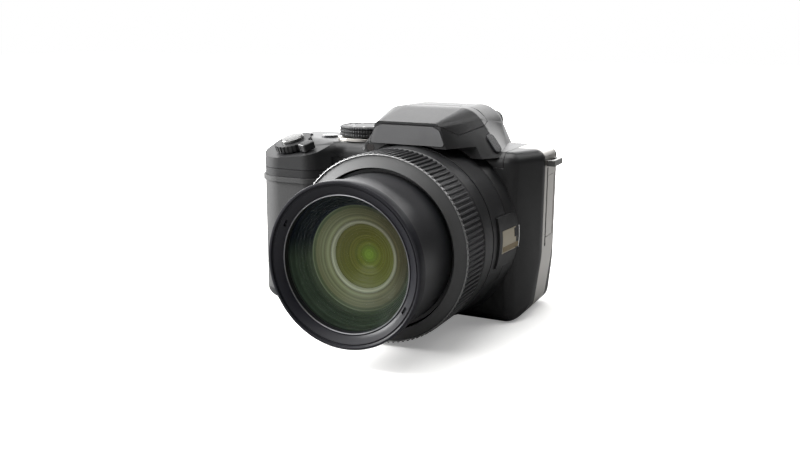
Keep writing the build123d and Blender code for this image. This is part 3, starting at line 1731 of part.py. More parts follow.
def make_eyecup():
    """The soft cup round the eyepiece."""
    corners = [
        (-eyecup_half, eyecup_high_z, eyecup_round),
        (-eyecup_half, eyecup_low_z, eyecup_round),
        (eyecup_half, eyecup_low_z, eyecup_round),
        (eyecup_half, eyecup_high_z, eyecup_round),
    ]
    low = hump_y[3] + seat_gap
    solid = from_front(rounded(corners), low, low + eyecup_depth)
    solid = fillet(solid.faces().sort_by(Axis.Y)[-1].edges(), eyecup_wall / 3)
    hole = rounded(moved_in(corners, eyecup_wall))
    return solid - from_front(hole, low - cut_over, low + eyecup_depth + cut_over)


def make_dioptre_wheel():
    """The small ribbed wheel beside the eyepiece."""
    end = dioptre_x + dioptre_length
    solid = rod(dioptre_r, (dioptre_x, dioptre_y, dioptre_z), (end, dioptre_y, dioptre_z))
    for index in range(dioptre_rib_count):
        angle = 360 * index / dioptre_rib_count
        cut = Pos(0, 0, dioptre_r) * Box(hump_wall, dioptre_r / 8, dioptre_r / 8)
        solid -= Pos(dioptre_x, dioptre_y, dioptre_z) * Rot(X=angle) * cut
    return solid


# Side door and sockets

def make_port_door():
    """The door over the sockets, round along its hinge edge."""
    middle = door_thick / 2
    hinge_y = door_rear_y - middle
    x = right_x - middle
    solid = slab((right_x - door_thick, right_x), (door_front_y, hinge_y), (door_low_z, door_high_z))
    solid += rod(middle, (x, hinge_y, door_low_z), (x, hinge_y, door_high_z))
    bore_r = door_pin_r + run_gap / 2
    return solid - rod(bore_r, (x, hinge_y, door_low_z - cut_over), (x, hinge_y, door_high_z + cut_over))


def make_port_pin():
    """The side door's hinge pin."""
    x = right_x - door_thick / 2
    y = door_rear_y - door_thick / 2
    return rod(door_pin_r, (x, y, door_low_z - door_pin_reach), (x, y, door_high_z + door_pin_reach))


def socket(length, height, z):
    """An open metal socket that faces the side door."""
    rear = socket_board_x + board_thick
    x = (rear, rear + socket_depth)
    y = (socket_y - length / 2, socket_y + length / 2)
    solid = slab(x, y, (z - height / 2, z + height / 2))
    return solid - slab(
        (rear + socket_wall, x[1] + cut_over),
        (y[0] + socket_wall, y[1] - socket_wall),
        (z - height / 2 + socket_wall, z + height / 2 - socket_wall),
    )


def make_side_board():
    """The upright board that carries the sockets, standing on the chassis."""
    y = (chassis_front_y + chassis_thick + seat_gap, band_rear_y - 2 * wall)
    return slab((socket_board_x, socket_board_x + board_thick), y, (door_low_z, door_high_z))


# Lugs and trim

def lug(side):
    """One strap lug: a bar held off the flank by two posts."""
    start = right_x if side > 0 else left_x
    near = start + side * seat_gap / 2
    far = start + side * lug_reach
    z = (lug_z - lug_height / 2, lug_z + lug_height / 2)
    solid = slab(sorted((near, far)), (lug_front_y, lug_rear_y), z)
    return solid - slab(
        sorted((near - side * cut_over, far - side * lug_thick)),
        (lug_front_y + lug_thick, lug_rear_y - lug_thick),
        (z[0] - cut_over, z[1] + cut_over),
    )


def make_strap_lugs():
    """The two metal lugs at the ends of the camera."""
    return group(lug(-1), lug(1))


def make_badge():
    """The bare badge plate on the tongue."""
    return badge_form(0)


parts = {
    "front_cover": make_front_cover,
    "top_cover": make_top_cover,
    "rear_cover": make_rear_cover,
    "side_band": make_side_band,
    "base_plate": make_base_plate,
    "rubber_grips": lambda: group(make_grip_skin(), make_thumb_rest()),
    "nameplate": make_nameplate,
    "badge_plate": make_badge,
    "lamp_window": make_lamp_window,
    "strap_lugs": make_strap_lugs,
    "case_screws": make_case_screws,
    "tripod_bush": make_tripod_bush,
    "inner_frame": lambda: group(make_chassis(), make_battery_bay()),
    "battery": make_battery,
    "battery_door": make_battery_door,
    "battery_latch": make_battery_latch,
    "lens_housing": make_lens_housing,
    "ribbed_sleeve": make_ribbed_sleeve,
    "silver_ring": make_silver_ring,
    "name_ring": make_name_ring,
    "guide_tube": make_guide_tube,
    "lens_base": make_lens_base,
    "middle_barrel": make_mid_barrel,
    "zoom_carrier": make_zoom_carrier,
    "zoom_lens": make_zoom_lens,
    "iris_unit": make_iris_unit,
    "front_barrel": make_front_barrel,
    "front_ring": make_front_ring,
    "front_cell": lambda: group(make_front_cell(), make_glass_retainer()),
    "front_glass": make_front_glass,
    "inner_ring": make_inner_ring,
    "inner_glass": lambda: group(make_second_glass(), make_inner_glass()),
    "cam_ring": make_cam_ring,
    "zoom_pinion": make_zoom_pinion,
    "lens_motors": lambda: group(make_zoom_motor(), make_focus_motor()),
    "focus_group": lambda: group(make_focus_holder(), make_focus_lens()),
    "guide_rods": make_guide_rods,
    "image_sensor": lambda: group(make_image_sensor(), make_sensor_filter()),
    "circuit_boards": lambda: group(
        make_main_board(),
        make_sensor_board(),
        make_rear_board(),
        make_top_board(),
        make_side_board(),
        make_flash_capacitor(),
        socket(hdmi_height, hdmi_length, hdmi_z),
        socket(usb_height, usb_length, usb_z),
    ),
    "shutter_button": make_shutter_button,
    "zoom_lever": make_zoom_lever,
    "drive_button": make_drive_button,
    "power_button": make_power_button,
    "mode_dial": make_mode_dial,
    "dial_bezel": make_dial_bezel,
    "flash_lid": make_flash_lid,
    "flash_head": lambda: group(make_flash_head(), make_flash_reflector(), make_flash_tube()),
    "flash_window": make_flash_window,
    "flash_button": make_flash_button,
    "hinge_pins": lambda: group(make_flash_pin(), make_port_pin()),
    "screen": lambda: group(make_screen_glass(), make_screen_panel()),
    "pad_ring": make_pad_ring,
    "centre_button": make_centre_button,
    "finder_tube": make_finder_tube,
    "finder_optics": lambda: group(make_finder_display(), make_finder_lens()),
    "eyecup": make_eyecup,
    "dioptre_wheel": make_dioptre_wheel,
    "port_door": make_port_door,
}
for button, place in rear_button_places.items():
    parts[button] = lambda place=place: rear_button(*place)

os.makedirs("parts", exist_ok=True)
for name, make in parts.items():
    export_step(make(), f"parts/{name}.step")
print(len(parts), "nodes written")
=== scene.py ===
# %% [markdown]
# # A bridge camera, dressed for its picture
# The construction model is already finished: a casing with a hand grip, a lens whose barrels slide
# out, a hump with a flash, and all the buttons. This lesson gives it its looks. It adds soft edges,
# moulded ribs, ground glass and real surfaces, and it never moves or resizes what the model says.

# %% Load the construction model
import json
import math

import bmesh
import bpy
from mathutils import Matrix, Vector


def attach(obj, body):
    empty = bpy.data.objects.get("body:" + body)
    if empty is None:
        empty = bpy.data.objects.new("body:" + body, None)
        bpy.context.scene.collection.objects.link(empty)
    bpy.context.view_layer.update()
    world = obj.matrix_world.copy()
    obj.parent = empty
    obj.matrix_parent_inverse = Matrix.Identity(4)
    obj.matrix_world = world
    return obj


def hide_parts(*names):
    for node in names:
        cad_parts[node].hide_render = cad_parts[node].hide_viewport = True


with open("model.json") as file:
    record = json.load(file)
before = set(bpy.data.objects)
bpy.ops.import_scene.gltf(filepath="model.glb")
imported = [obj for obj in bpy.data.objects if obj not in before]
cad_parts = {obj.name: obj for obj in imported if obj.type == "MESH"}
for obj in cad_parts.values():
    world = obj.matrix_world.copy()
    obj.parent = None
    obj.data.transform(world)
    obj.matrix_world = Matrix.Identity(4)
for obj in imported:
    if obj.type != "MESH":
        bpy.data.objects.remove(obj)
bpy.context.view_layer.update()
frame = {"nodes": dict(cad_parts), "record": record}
print("construction nodes:", len(frame["nodes"]))

# %% [markdown]
# ## Units and the lens axis
# Blender works in metres here, and a camera is drawn in millimetres, so every length below is
# written in millimetres and turned into metres by one helper. Most of the lens is round about one
# line that runs from back to front, 36 mm above the table.

# %% Units and the lens axis
MM = 0.001
AXIS_Z = 36.0
body_of = {
    node: body
    for body, nodes in frame["record"]["behaviour"]["bodies"].items()
    for node in nodes
}


def mm(*values):
    """Millimetres to a vector in metres."""
    return Vector([value * MM for value in values])


def in_scene(name, data):
    """A new object in the scene that shows some data."""
    made = bpy.data.objects.new(name, data)
    bpy.context.scene.collection.objects.link(made)
    return made


print("lens axis:", AXIS_Z, "mm above the table")

# %% [markdown]
# ## Wiring nodes
# A finish is a small tree of nodes: one makes a pattern, the next turns it into a roughness, and so
# on. Each input of a node holds either a plain value or a link from another node. The helpers below
# take both in one list, so that a finish reads like the sentence that describes it.

# %% Helpers that wire nodes
finishes = {}


def feed(node, inputs):
    """Gives each input of a node its plain value, or links it to the socket that feeds it."""
    for name, value in inputs.items():
        if isinstance(value, bpy.types.NodeSocket):
            node.id_data.links.new(value, node.inputs[name])
        else:
            node.inputs[name].default_value = value
    return node


def added(tree, kind, inputs=None, **settings):
    """A new node; its settings come before its inputs, because some of them change the inputs."""
    node = tree.nodes.new(kind)
    for setting, value in settings.items():
        setattr(node, setting, value)
    return feed(node, inputs or {})


def ranged(tree, source, low, high, start=0.0, end=1.0, **settings):
    """A value that runs from low to high while its source runs from start to end."""
    inputs = {"Value": source, "From Min": start, "From Max": end, "To Min": low, "To Max": high}
    return added(tree, "ShaderNodeMapRange", inputs, **settings).outputs["Result"]


def mixed(tree, share, first, second):
    """A blend of two colours."""
    inputs = {"Factor": share, "A": first, "B": second}
    return added(tree, "ShaderNodeMix", inputs, data_type="RGBA").outputs["Result"]


def noise(tree, place, scale, detail):
    """The value of a noise at a place; scale is in waves a metre."""
    inputs = {"Vector": place, "Scale": scale, "Detail": detail}
    return added(tree, "ShaderNodeTexNoise", inputs).outputs["Fac"]


def vector_step(tree, operation, inputs, result="Vector"):
    """One step of arithmetic on vectors."""
    return added(tree, "ShaderNodeVectorMath", inputs, operation=operation).outputs[result]


def object_place(tree):
    """Where on its piece a point is, in metres."""
    return tree.nodes.new("ShaderNodeTexCoord").outputs["Object"]


def new_finish(name):
    """A new entry in the list of finishes; gives its tree and its shader."""
    material = finishes[name] = bpy.data.materials.new(name)
    material.use_nodes = True
    return material.node_tree, material.node_tree.nodes["Principled BSDF"]


# %% [markdown]
# ## Surfaces
# Nearly all of this camera is black plastic, and what tells one black part from another is how
# rough it is. Moulded casings have a spark-eroded grain that is finer than a grain of salt, the
# grip is softer and coarser, and the barrels are smooth and anodised. One helper builds them all: a
# noise drives a fine bump and a slight change of roughness, and a second, much larger noise
# lightens and darkens the colour a little, as handling does. Edges are worn a little lighter, which
# a pointiness input gives.

# %% A helper for moulded and painted surfaces
NOISE_SPAN = (0.3, 0.7)  # a noise rarely leaves this range
GRAIN_DETAIL = 3
HANDLING_SCALE, HANDLING_DETAIL = 60, 4
WORN_SPAN = (0.52, 0.62)  # the pointiness where wear starts and is full; a flat face has 0.5
WORN_GAIN, WORN_LIFT = 3, 0.06
GLOSS_SPREAD = 0.06
BUMP_STRENGTH = 0.5


def surface(name, colour, rough, grain=0.25, depth=0.02, wear=0.1, metal=0.0, spread=0.12,
            spec=0.5):
    """A procedural finish; grain is the size of its texture in millimetres, depth its height."""
    tree, shader = new_finish(name)
    place = object_place(tree)
    fine = noise(tree, place, 1 / (grain * MM), GRAIN_DETAIL)
    broad = noise(tree, place, HANDLING_SCALE, HANDLING_DETAIL)
    tone = ranged(tree, broad, 1 - spread, 1 + spread, *NOISE_SPAN)
    base = vector_step(tree, "SCALE", {0: colour, "Scale": tone})
    pointed = tree.nodes.new("ShaderNodeNewGeometry").outputs["Pointiness"]
    edge = ranged(tree, pointed, 0.0, wear, *WORN_SPAN)
    worn = (*[min(1, WORN_GAIN * part + WORN_LIFT) for part in colour], 1)
    relief = {"Strength": BUMP_STRENGTH, "Distance": depth * MM, "Height": fine}
    feed(shader, {
        "Metallic": metal,
        "Specular IOR Level": spec,
        "Base Color": mixed(tree, edge, base, worn),
        "Roughness": ranged(tree, fine, rough - GLOSS_SPREAD, rough + GLOSS_SPREAD),
        "Normal": added(tree, "ShaderNodeBump", relief).outputs["Normal"],
    })


# %% [markdown]
# ## The list of finishes
# Each is named after the part of the camera or the material that it is for. After the colour come
# the roughness, then the size and height of the grain in millimetres, the wear of the edges, how
# metallic it is, and how much the colour varies. Some dark finishes also mirror less than plastic
# usually does (spec), which keeps them dark under the bright lamps.

# %% The list of finishes
surface("casing_plastic", (0.011, 0.011, 0.0115), 0.42, 0.34, 0.040, spec=0.4)
surface("grip_skin_rubber", (0.030, 0.030, 0.030), 0.58, 0.80, 0.150, 0.05)
surface("barrel_satin", (0.020, 0.020, 0.022), 0.38, 0.20, 0.008, 0.05)
surface("sleeve_plastic", (0.014, 0.014, 0.015), 0.42, 0.25, 0.015, spec=0.4)
surface("ring_anodised", (0.009, 0.009, 0.012), 0.38, 0.20, 0.006, 0.10, spec=0.2)
surface("edge_metal", (0.22, 0.22, 0.23), 0.30, 0.20, 0.004, 0.1, 0.8, 0.05)
surface("groove_shade", (0.020, 0.017, 0.014), 0.60, 0.20, 0.004, 0.0)
surface("ring_paint", (0.060, 0.060, 0.060), 0.45, 0.20, 0.008, 0.10)
surface("nameplate_paint", (0.100, 0.100, 0.102), 0.48, 0.28, 0.030, 0.3, 0.3)
surface("band_satin", (0.50, 0.48, 0.45), 0.34, 0.20, 0.006, 0.0, 0.85, 0.04)
surface("bright_metal", (0.80, 0.80, 0.79), 0.20, 0.20, 0.003, 0.0, 1.0, 0.03)
surface("ring_metal", (0.32, 0.32, 0.32), 0.50, 0.20, 0.003, 0.0, 0.9, 0.03)
surface("tooth_metal", (0.13, 0.13, 0.13), 0.36, 0.15, 0.003, 0.1, 0.9, 0.05)
surface("steel", (0.55, 0.55, 0.54), 0.28, 0.15, 0.004, 0.0, 1.0, 0.05)
surface("frame_metal", (0.42, 0.42, 0.41), 0.40, 0.30, 0.010, 0.0, 1.0)
surface("badge_satin", (0.36, 0.32, 0.24), 0.32, 0.20, 0.006, 0.0, 0.7, 0.05)
surface("badge_gold", (0.16, 0.115, 0.045), 0.30, 0.20, 0.006, 0.0, 0.8, 0.05)
surface("button_satin", (0.020, 0.020, 0.022), 0.28, 0.25, 0.006, 0.08)
surface("dial_metal", (0.016, 0.016, 0.017), 0.46, 0.20, 0.010, 0.20, spec=0.35)
surface("shutter_chrome", (0.14, 0.14, 0.138), 0.26, 0.25, 0.002, 0.0, 0.9, 0.05)
surface("board_green", (0.03, 0.11, 0.06), 0.45, 0.40, 0.010)
surface("cell_wrap", (0.07, 0.07, 0.08), 0.40, 0.40, 0.010)
surface("gear_resin", (0.70, 0.69, 0.64), 0.45, 0.30, 0.010)
surface("inner_black", (0.008, 0.008, 0.009), 0.55, 0.25, 0.010, 0.0)
surface("screen_gloss", (0.006, 0.006, 0.007), 0.22, 0.40, 0.001, 0.0, 0.0, 0.05, spec=0.25)
surface("lug_metal", (0.13, 0.13, 0.125), 0.34, 0.15, 0.003, 0.1, 0.9, 0.05)
surface("mark_red", (0.45, 0.015, 0.012), 0.35, 0.2, 0.003, 0.0)
surface("display_black", (0.003, 0.0035, 0.005), 0.16, 0.4, 0.001, 0.0, spec=0.3)
surface("lamp_amber", (0.012, 0.009, 0.008), 0.10, 0.40, 0.002, 0.0)
print("finishes:", len(finishes))

# %% [markdown]
# ## Glass
# A camera lens is coated, so it lets nearly all light through and mirrors only a little. A shader
# that transmits light through a pale tint gives this. Thick glass of the usual index would shift
# and veil the rings behind it, so the front glass bends light hardly at all, and a thin clear coat
# gives it back its faint mirror. The lens group deep inside is a stronger yellow-green.

# %% Glass
POLISH_SCALE, POLISH_DETAIL = 90, 2
POLISH_SPREAD = 0.02


def glass(name, colour, rough=0.0, ior=1.5, coat=0.0):
    """Clear or tinted glass with a faint, slightly uneven polish."""
    tree, shader = new_finish(name)
    polish = noise(tree, object_place(tree), POLISH_SCALE, POLISH_DETAIL)
    feed(shader, {
        "Base Color": (*colour, 1),
        "Transmission Weight": 1,
        "IOR": ior,
        "Coat Weight": coat,
        "Roughness": ranged(tree, polish, rough, rough + POLISH_SPREAD),
    })


glass("front_glass_coated", (0.94, 0.98, 0.94), 0.0, 1.03, 0.03)
glass("inner_glass_coated", (0.72, 0.86, 0.45), 0.0, 1.4)
glass("window_clear", (0.92, 0.92, 0.92), 0.05)
print("finishes with glass:", len(finishes))

# %% [markdown]
# ## Putting a finish on the construction parts
# A carried-over part is a bag of loose triangles. A copy is welded, its nearly flat triangles are
# shaded as one face, and most get a bevel of a tenth or two of a millimetre, because no moulded
# edge is perfectly sharp and the bevel is what catches the light.

# %% A helper that dresses a construction part
WELD = 0.002  # millimetres
SHARP = 28  # edges that turn by more than this many degrees stay sharp
BEVEL_FROM = 40  # and only those that turn by more than this are bevelled
BEVEL_STEPS = 2


def smoothed(shape, sharp):
    """Shades a bmesh smooth, except along edges that turn by more than sharp degrees."""
    for face in shape.faces:
        face.smooth = True
    for edge in shape.edges:
        edge.smooth = edge.is_manifold and edge.calc_face_angle(0) < math.radians(sharp)


def dressed(node, finish, bevel):
    """A welded, softened copy of a construction node, shown in its place."""
    mesh = frame["nodes"][node].data.copy()
    mesh.name = node + "_shell"
    shape = bmesh.new()
    shape.from_mesh(mesh)
    bmesh.ops.remove_doubles(shape, verts=shape.verts, dist=WELD * MM)
    bmesh.ops.dissolve_degenerate(shape, edges=shape.edges, dist=WELD * MM)
    smoothed(shape, SHARP)
    shape.to_mesh(mesh)
    shape.free()
    mesh.materials.clear()
    mesh.materials.append(finishes[finish])
    piece = in_scene(node + "_shell", mesh)
    if bevel > 0:
        rounding = piece.modifiers.new("soft_edges", "BEVEL")
        rounding.width = bevel * MM
        rounding.segments = BEVEL_STEPS
        rounding.limit_method = "ANGLE"
        rounding.angle_limit = math.radians(BEVEL_FROM)
        rounding.harden_normals = True
        rounding.use_clamp_overlap = True
    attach(piece, body_of[node])
    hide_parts(node)


# %% Dress the parts that keep their construction shape
shells = {
    "front_cover": ("casing_plastic", 0.12), "top_cover": ("casing_plastic", 0.12),
    "rear_cover": ("casing_plastic", 0.12), "base_plate": ("casing_plastic", 0.12),
    "side_band": ("band_satin", 0.10), "rubber_grips": ("grip_skin_rubber", 0.25),
    "nameplate": ("nameplate_paint", 0.15), "badge_plate": ("badge_satin", 0.10),
    "lamp_window": ("lamp_amber", 0.10), "strap_lugs": ("lug_metal", 0.25),
    "case_screws": ("steel", 0.08), "tripod_bush": ("steel", 0.15),
    "battery_door": ("casing_plastic", 0.12), "battery_latch": ("casing_plastic", 0.08),
    "lens_housing": ("sleeve_plastic", 0.10), "name_ring": ("ring_paint", 0.15),
    "middle_barrel": ("barrel_satin", 0.10), "front_barrel": ("barrel_satin", 0.10),
    "dial_bezel": ("band_satin", 0.12), "flash_lid": ("casing_plastic", 0.05),
    "flash_button": ("button_satin", 0.15), "flash_head": ("inner_black", 0.10),
    "shutter_button": ("shutter_chrome", 0.20), "zoom_lever": ("casing_plastic", 0.10),
    "drive_button": ("button_satin", 0.10), "power_button": ("button_satin", 0.10),
    "screen": ("screen_gloss", 0.10), "record_button": ("button_satin", 0.10),
    "menu_button": ("button_satin", 0.10), "pad_ring": ("button_satin", 0.12),
    "centre_button": ("button_satin", 0.10), "eyecup": ("grip_skin_rubber", 0.30),
    "dioptre_wheel": ("button_satin", 0.0), "port_door": ("band_satin", 0.10),
    "finder_tube": ("inner_black", 0.10),
}
for node, (finish, bevel) in shells.items():
    dressed(node, finish, bevel)
print("dressed parts:", len(shells))

# %% [markdown]
# ## The parts inside
# Boards, gears, rods and the battery are hidden, or nearly so, until a door or the flash opens.
# They keep the construction's own meshes, which saves triangles, and only take a finish.

# %% Give the parts inside their finishes
inside = {
    "inner_frame": "frame_metal", "battery": "cell_wrap", "guide_tube": "inner_black",
    "lens_base": "frame_metal", "zoom_carrier": "inner_black", "zoom_lens": "inner_glass_coated",
    "iris_unit": "inner_black", "cam_ring": "gear_resin", "zoom_pinion": "gear_resin",
    "lens_motors": "steel", "focus_group": "inner_black", "guide_rods": "steel",
    "image_sensor": "screen_gloss", "circuit_boards": "board_green", "hinge_pins": "steel",
    "flash_window": "window_clear", "finder_optics": "window_clear",
}
for node, finish in inside.items():
    mesh = frame["nodes"][node].data
    mesh.materials.clear()
    mesh.materials.append(finishes[finish])
print("inner parts:", len(inside))

# %% [markdown]
# ## Round pieces
# The barrels and rings were turned on a lathe in the tool room that made their moulds, so they are
# made the same way here: an outline of points is swept round the lens axis. The construction model
# only has their main steps; the outlines below add the small steps, grooves and beads that catch
# the light.

# %% A lathe
POLE_R = 0.001  # an outline point nearer to the axis than this is one point, not a ring


def joined(shape, mesh_name, finish, sharp=SHARP):
    """A mesh from a bmesh, smooth except along its sharp edges, with its finish."""
    bmesh.ops.recalc_face_normals(shape, faces=shape.faces)
    smoothed(shape, sharp)
    mesh = bpy.data.meshes.new(mesh_name)
    shape.to_mesh(mesh)
    shape.free()
    mesh.materials.append(finishes[finish])
    return mesh


def placed(mesh, node, *more):
    """The mesh as a piece that rides with a construction node, and stands for the ones named."""
    piece = in_scene(mesh.name, mesh)
    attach(piece, body_of[node])
    if more:
        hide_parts(*more)
    return piece


def swept(outline, segments=180, closed=True):
    """A bmesh turned round the lens axis from (y, radius) points in millimetres."""
    shape = bmesh.new()
    rings = []
    for y, radius in outline:
        if radius < POLE_R:
            rings.append([shape.verts.new(mm(0, y, AXIS_Z))] * segments)
            continue
        ring = []
        for index in range(segments):
            angle = math.tau * index / segments
            across, up = radius * math.cos(angle), radius * math.sin(angle)
            ring.append(shape.verts.new(mm(across, y, AXIS_Z + up)))
        rings.append(ring)
    following = rings[1:] + rings[:1] if closed else rings[1:]
    for first, second in zip(rings, following):
        for index in range(segments):
            after = (index + 1) % segments
            corners = []
            for vert in (first[index], first[after], second[after], second[index]):
                if vert not in corners:
                    corners.append(vert)
            if len(corners) > 2:
                shape.faces.new(corners)
    return shape


def turned(name, outline, finish, node, replaced=(), **more):
    """A finished round piece."""
    return placed(joined(swept(outline, **more), name, finish), node, *replaced)


# %% [markdown]
# ## The front ring
# It frames the glass. From outside in it has a plain rim, a narrow groove, a broad face that dishes
# towards the glass, and a rounded lip with a fine bright edge. Two small notches take the lugs of a
# hood; they are cut after turning, with a Boolean, as they would be milled.

# %% The front ring
NOTCH_ANGLES = (209, 29)
NOTCH_PLACE = (25.7, -75.2, 0)  # radius, y and sideways, before it is turned to its angle
NOTCH_SIZE = (1.0, 1.6, 2.6)


def evaluated_mesh(piece):
    """The mesh that an object shows once its modifiers have run."""
    graph = bpy.context.evaluated_depsgraph_get()
    return bpy.data.meshes.new_from_object(piece.evaluated_get(graph))


front_ring_outline = [
    (-72.60, 28.05), (-72.60, 28.95), (-72.75, 29.10), (-76.15, 29.10), (-76.42, 28.98),
    (-76.50, 28.75), (-76.50, 28.25), (-76.35, 28.02), (-75.75, 27.92), (-75.62, 27.75),
    (-75.62, 27.35), (-75.80, 27.22), (-75.15, 25.90), (-74.55, 24.80), (-74.30, 24.55),
    (-74.42, 24.35), (-74.38, 24.05), (-74.15, 23.85), (-73.60, 23.75), (-72.20, 23.70),
    (-71.60, 23.95), (-71.55, 27.00),
]
front_ring = turned("front_ring_turned", front_ring_outline, "ring_anodised", "front_ring",
                    ["front_ring"])
cutters = bmesh.new()
for angle in NOTCH_ANGLES:
    box = bmesh.ops.create_cube(cutters, size=1)["verts"]
    spin = Matrix.Rotation(math.radians(angle), 4, "Y")
    move = Matrix.Translation(mm(0, 0, AXIS_Z)) @ spin @ Matrix.Translation(mm(*NOTCH_PLACE))
    bmesh.ops.transform(cutters, verts=box, matrix=move @ Matrix.Diagonal((*mm(*NOTCH_SIZE), 1)))
cutter_mesh = bpy.data.meshes.new("notch_cutters")
cutters.to_mesh(cutter_mesh)
cutters.free()
cutter = in_scene("notch_cutters", cutter_mesh)
milling = front_ring.modifiers.new("notches", "BOOLEAN")
milling.object = cutter
milling.solver = "EXACT"
cut_mesh = evaluated_mesh(front_ring)
front_ring.modifiers.remove(milling)
front_ring.data = cut_mesh
bpy.data.objects.remove(cutter)
print("front ring faces:", len(cut_mesh.polygons))
lip_outline = [
    (-74.30, 23.80), (-74.46, 23.86), (-74.52, 24.00), (-74.46, 24.14), (-74.30, 24.20),
    (-74.10, 24.00),
]
turned("front_ring_lip", lip_outline, "edge_metal", "front_ring")

# %% [markdown]
# ## The badge
# The badge on the lens tongue is a thin champagne plate. Where the real one is printed, this one
# has a bare dark field and a bare gold strip, and a bright trim closes its rear edge. All three are
# thin foils that follow the cone of the tongue, so each is built from a few rows of points on that
# cone.

# %% The badge's foils
CONE_FRONT = (-18.0, 36.4)  # y, and the cone's radius there
CONE_LEAN = 0.1
FOIL_LEVELS = (0.06, -0.05)  # its outer and inner face, off the cone
FOIL_ROWS = 6


def foil(name, along, upward, finish):
    """A thin plate on the tongue's cone, between two y and two z in millimetres."""
    shape = bmesh.new()
    sheets = []
    for lift in FOIL_LEVELS:
        rows = []
        for row in range(FOIL_ROWS + 1):
            z = upward[0] + (upward[1] - upward[0]) * row / FOIL_ROWS
            line = []
            for y in along:
                radius = CONE_FRONT[1] + CONE_LEAN * (y - CONE_FRONT[0]) + lift
                x = math.sqrt(radius * radius - (z - AXIS_Z) ** 2)
                line.append(shape.verts.new(mm(x, y, z)))
            rows.append(line)
        sheets.append(rows)
    outer, inner = sheets
    for row in range(FOIL_ROWS):
        after = row + 1
        for rows in sheets:
            shape.faces.new((rows[row][0], rows[row][1], rows[after][1], rows[after][0]))
        for side in (0, 1):
            shape.faces.new((outer[row][side], outer[after][side],
                             inner[after][side], inner[row][side]))
    for row in (0, FOIL_ROWS):
        shape.faces.new((outer[row][0], outer[row][1], inner[row][1], inner[row][0]))
    return placed(joined(shape, name, finish), "badge_plate")


foil("badge_dark_field", (-7.6, -3.9), (36.3, 39.7), "inner_black")
foil("badge_gold_strip", (-17.4, -3.9), (31.9, 34.0), "badge_gold")
foil("badge_bright_edge", (-3.55, -3.1), (31.5, 40.1), "bright_metal")
print("badge foils done")

# %% [markdown]
# ## The band's groove
# The light band down the flank has a long groove in front of the socket door, with a small round
# end. A cut this fine would need a very dense mesh, so a thin dark slab, the groove's painted
# shade, is let into the band instead. A helper lofts it: it joins loops of points, one after the
# other, and closes both ends.

# %% The groove in the band
FLANK_X = 43.0
GROOVE_SUNK, GROOVE_PROUD = 0.3, 0.03
GROOVE_Y = (14.1, 15.3)
GROOVE_TOP, GROOVE_FOOT = 60.5, 29.6
END_CENTRE, END_R = (14.7, 29.2), 0.95
END_TURNS = range(-30, 211, 30)


def lofted(loops):
    """A closed bmesh through loops that have the same number of points each."""
    shape = bmesh.new()
    rings = [[shape.verts.new(point) for point in loop] for loop in loops]
    for first, second in zip(rings, rings[1:]):
        for index in range(len(first)):
            after = (index + 1) % len(first)
            shape.faces.new((first[index], first[after], second[after], second[index]))
    shape.faces.new(list(reversed(rings[0])))
    shape.faces.new(rings[-1])
    return shape


groove = [(GROOVE_Y[0], GROOVE_TOP), (GROOVE_Y[0], GROOVE_FOOT)]
for degrees in END_TURNS:
    angle = math.radians(degrees)
    y, z = END_CENTRE[0] - END_R * math.cos(angle), END_CENTRE[1] - END_R * math.sin(angle)
    groove.append((y, z))
groove += [(GROOVE_Y[1], GROOVE_FOOT), (GROOVE_Y[1], GROOVE_TOP)]
groove_sides = [[mm(x, y, z) for y, z in groove]
                for x in (FLANK_X - GROOVE_SUNK, FLANK_X + GROOVE_PROUD)]
# The slab's dark finish is painted shade for the groove.
placed(joined(lofted(groove_sides), "band_groove", "groove_shade"), "side_band")
print("groove points:", len(groove))

# %% [markdown]
# ## Behind the glass
# Looking into a zoom lens one sees a funnel of black steps, then a pale metal ring that holds the
# next element, and in the middle a deep, green eye: the coatings of many elements, one behind the
# other, each sending back a little coloured light. Tracing all that light would be slow and noisy.
# Here one stepped bowl stands for the eye, and its finish paints the rings as painted reflections:
# a colour ramp over the distance from the lens axis, with painted light on one side and painted
# shade on the other, and a fine ripple. Most of the colour is emitted, a painted glow, so that it
# doesn't depend on how much light finds its way in.

# %% A finish that changes with the distance from the lens axis
EYE_PAINTED_GLOW = 0.72
EYE_ALBEDO = 0.3  # the share of the colour that is also painted on
EYE_ROUGH, EYE_ROUGH_SPREAD = 0.40, 0.04
EYE_COAT, EYE_COAT_ROUGH, EYE_SPEC = 0.04, 0.05, 0.2
RIPPLE_SCALE = 1100
RIPPLE_LOW, RIPPLE_HIGH = 0.72, 1.28


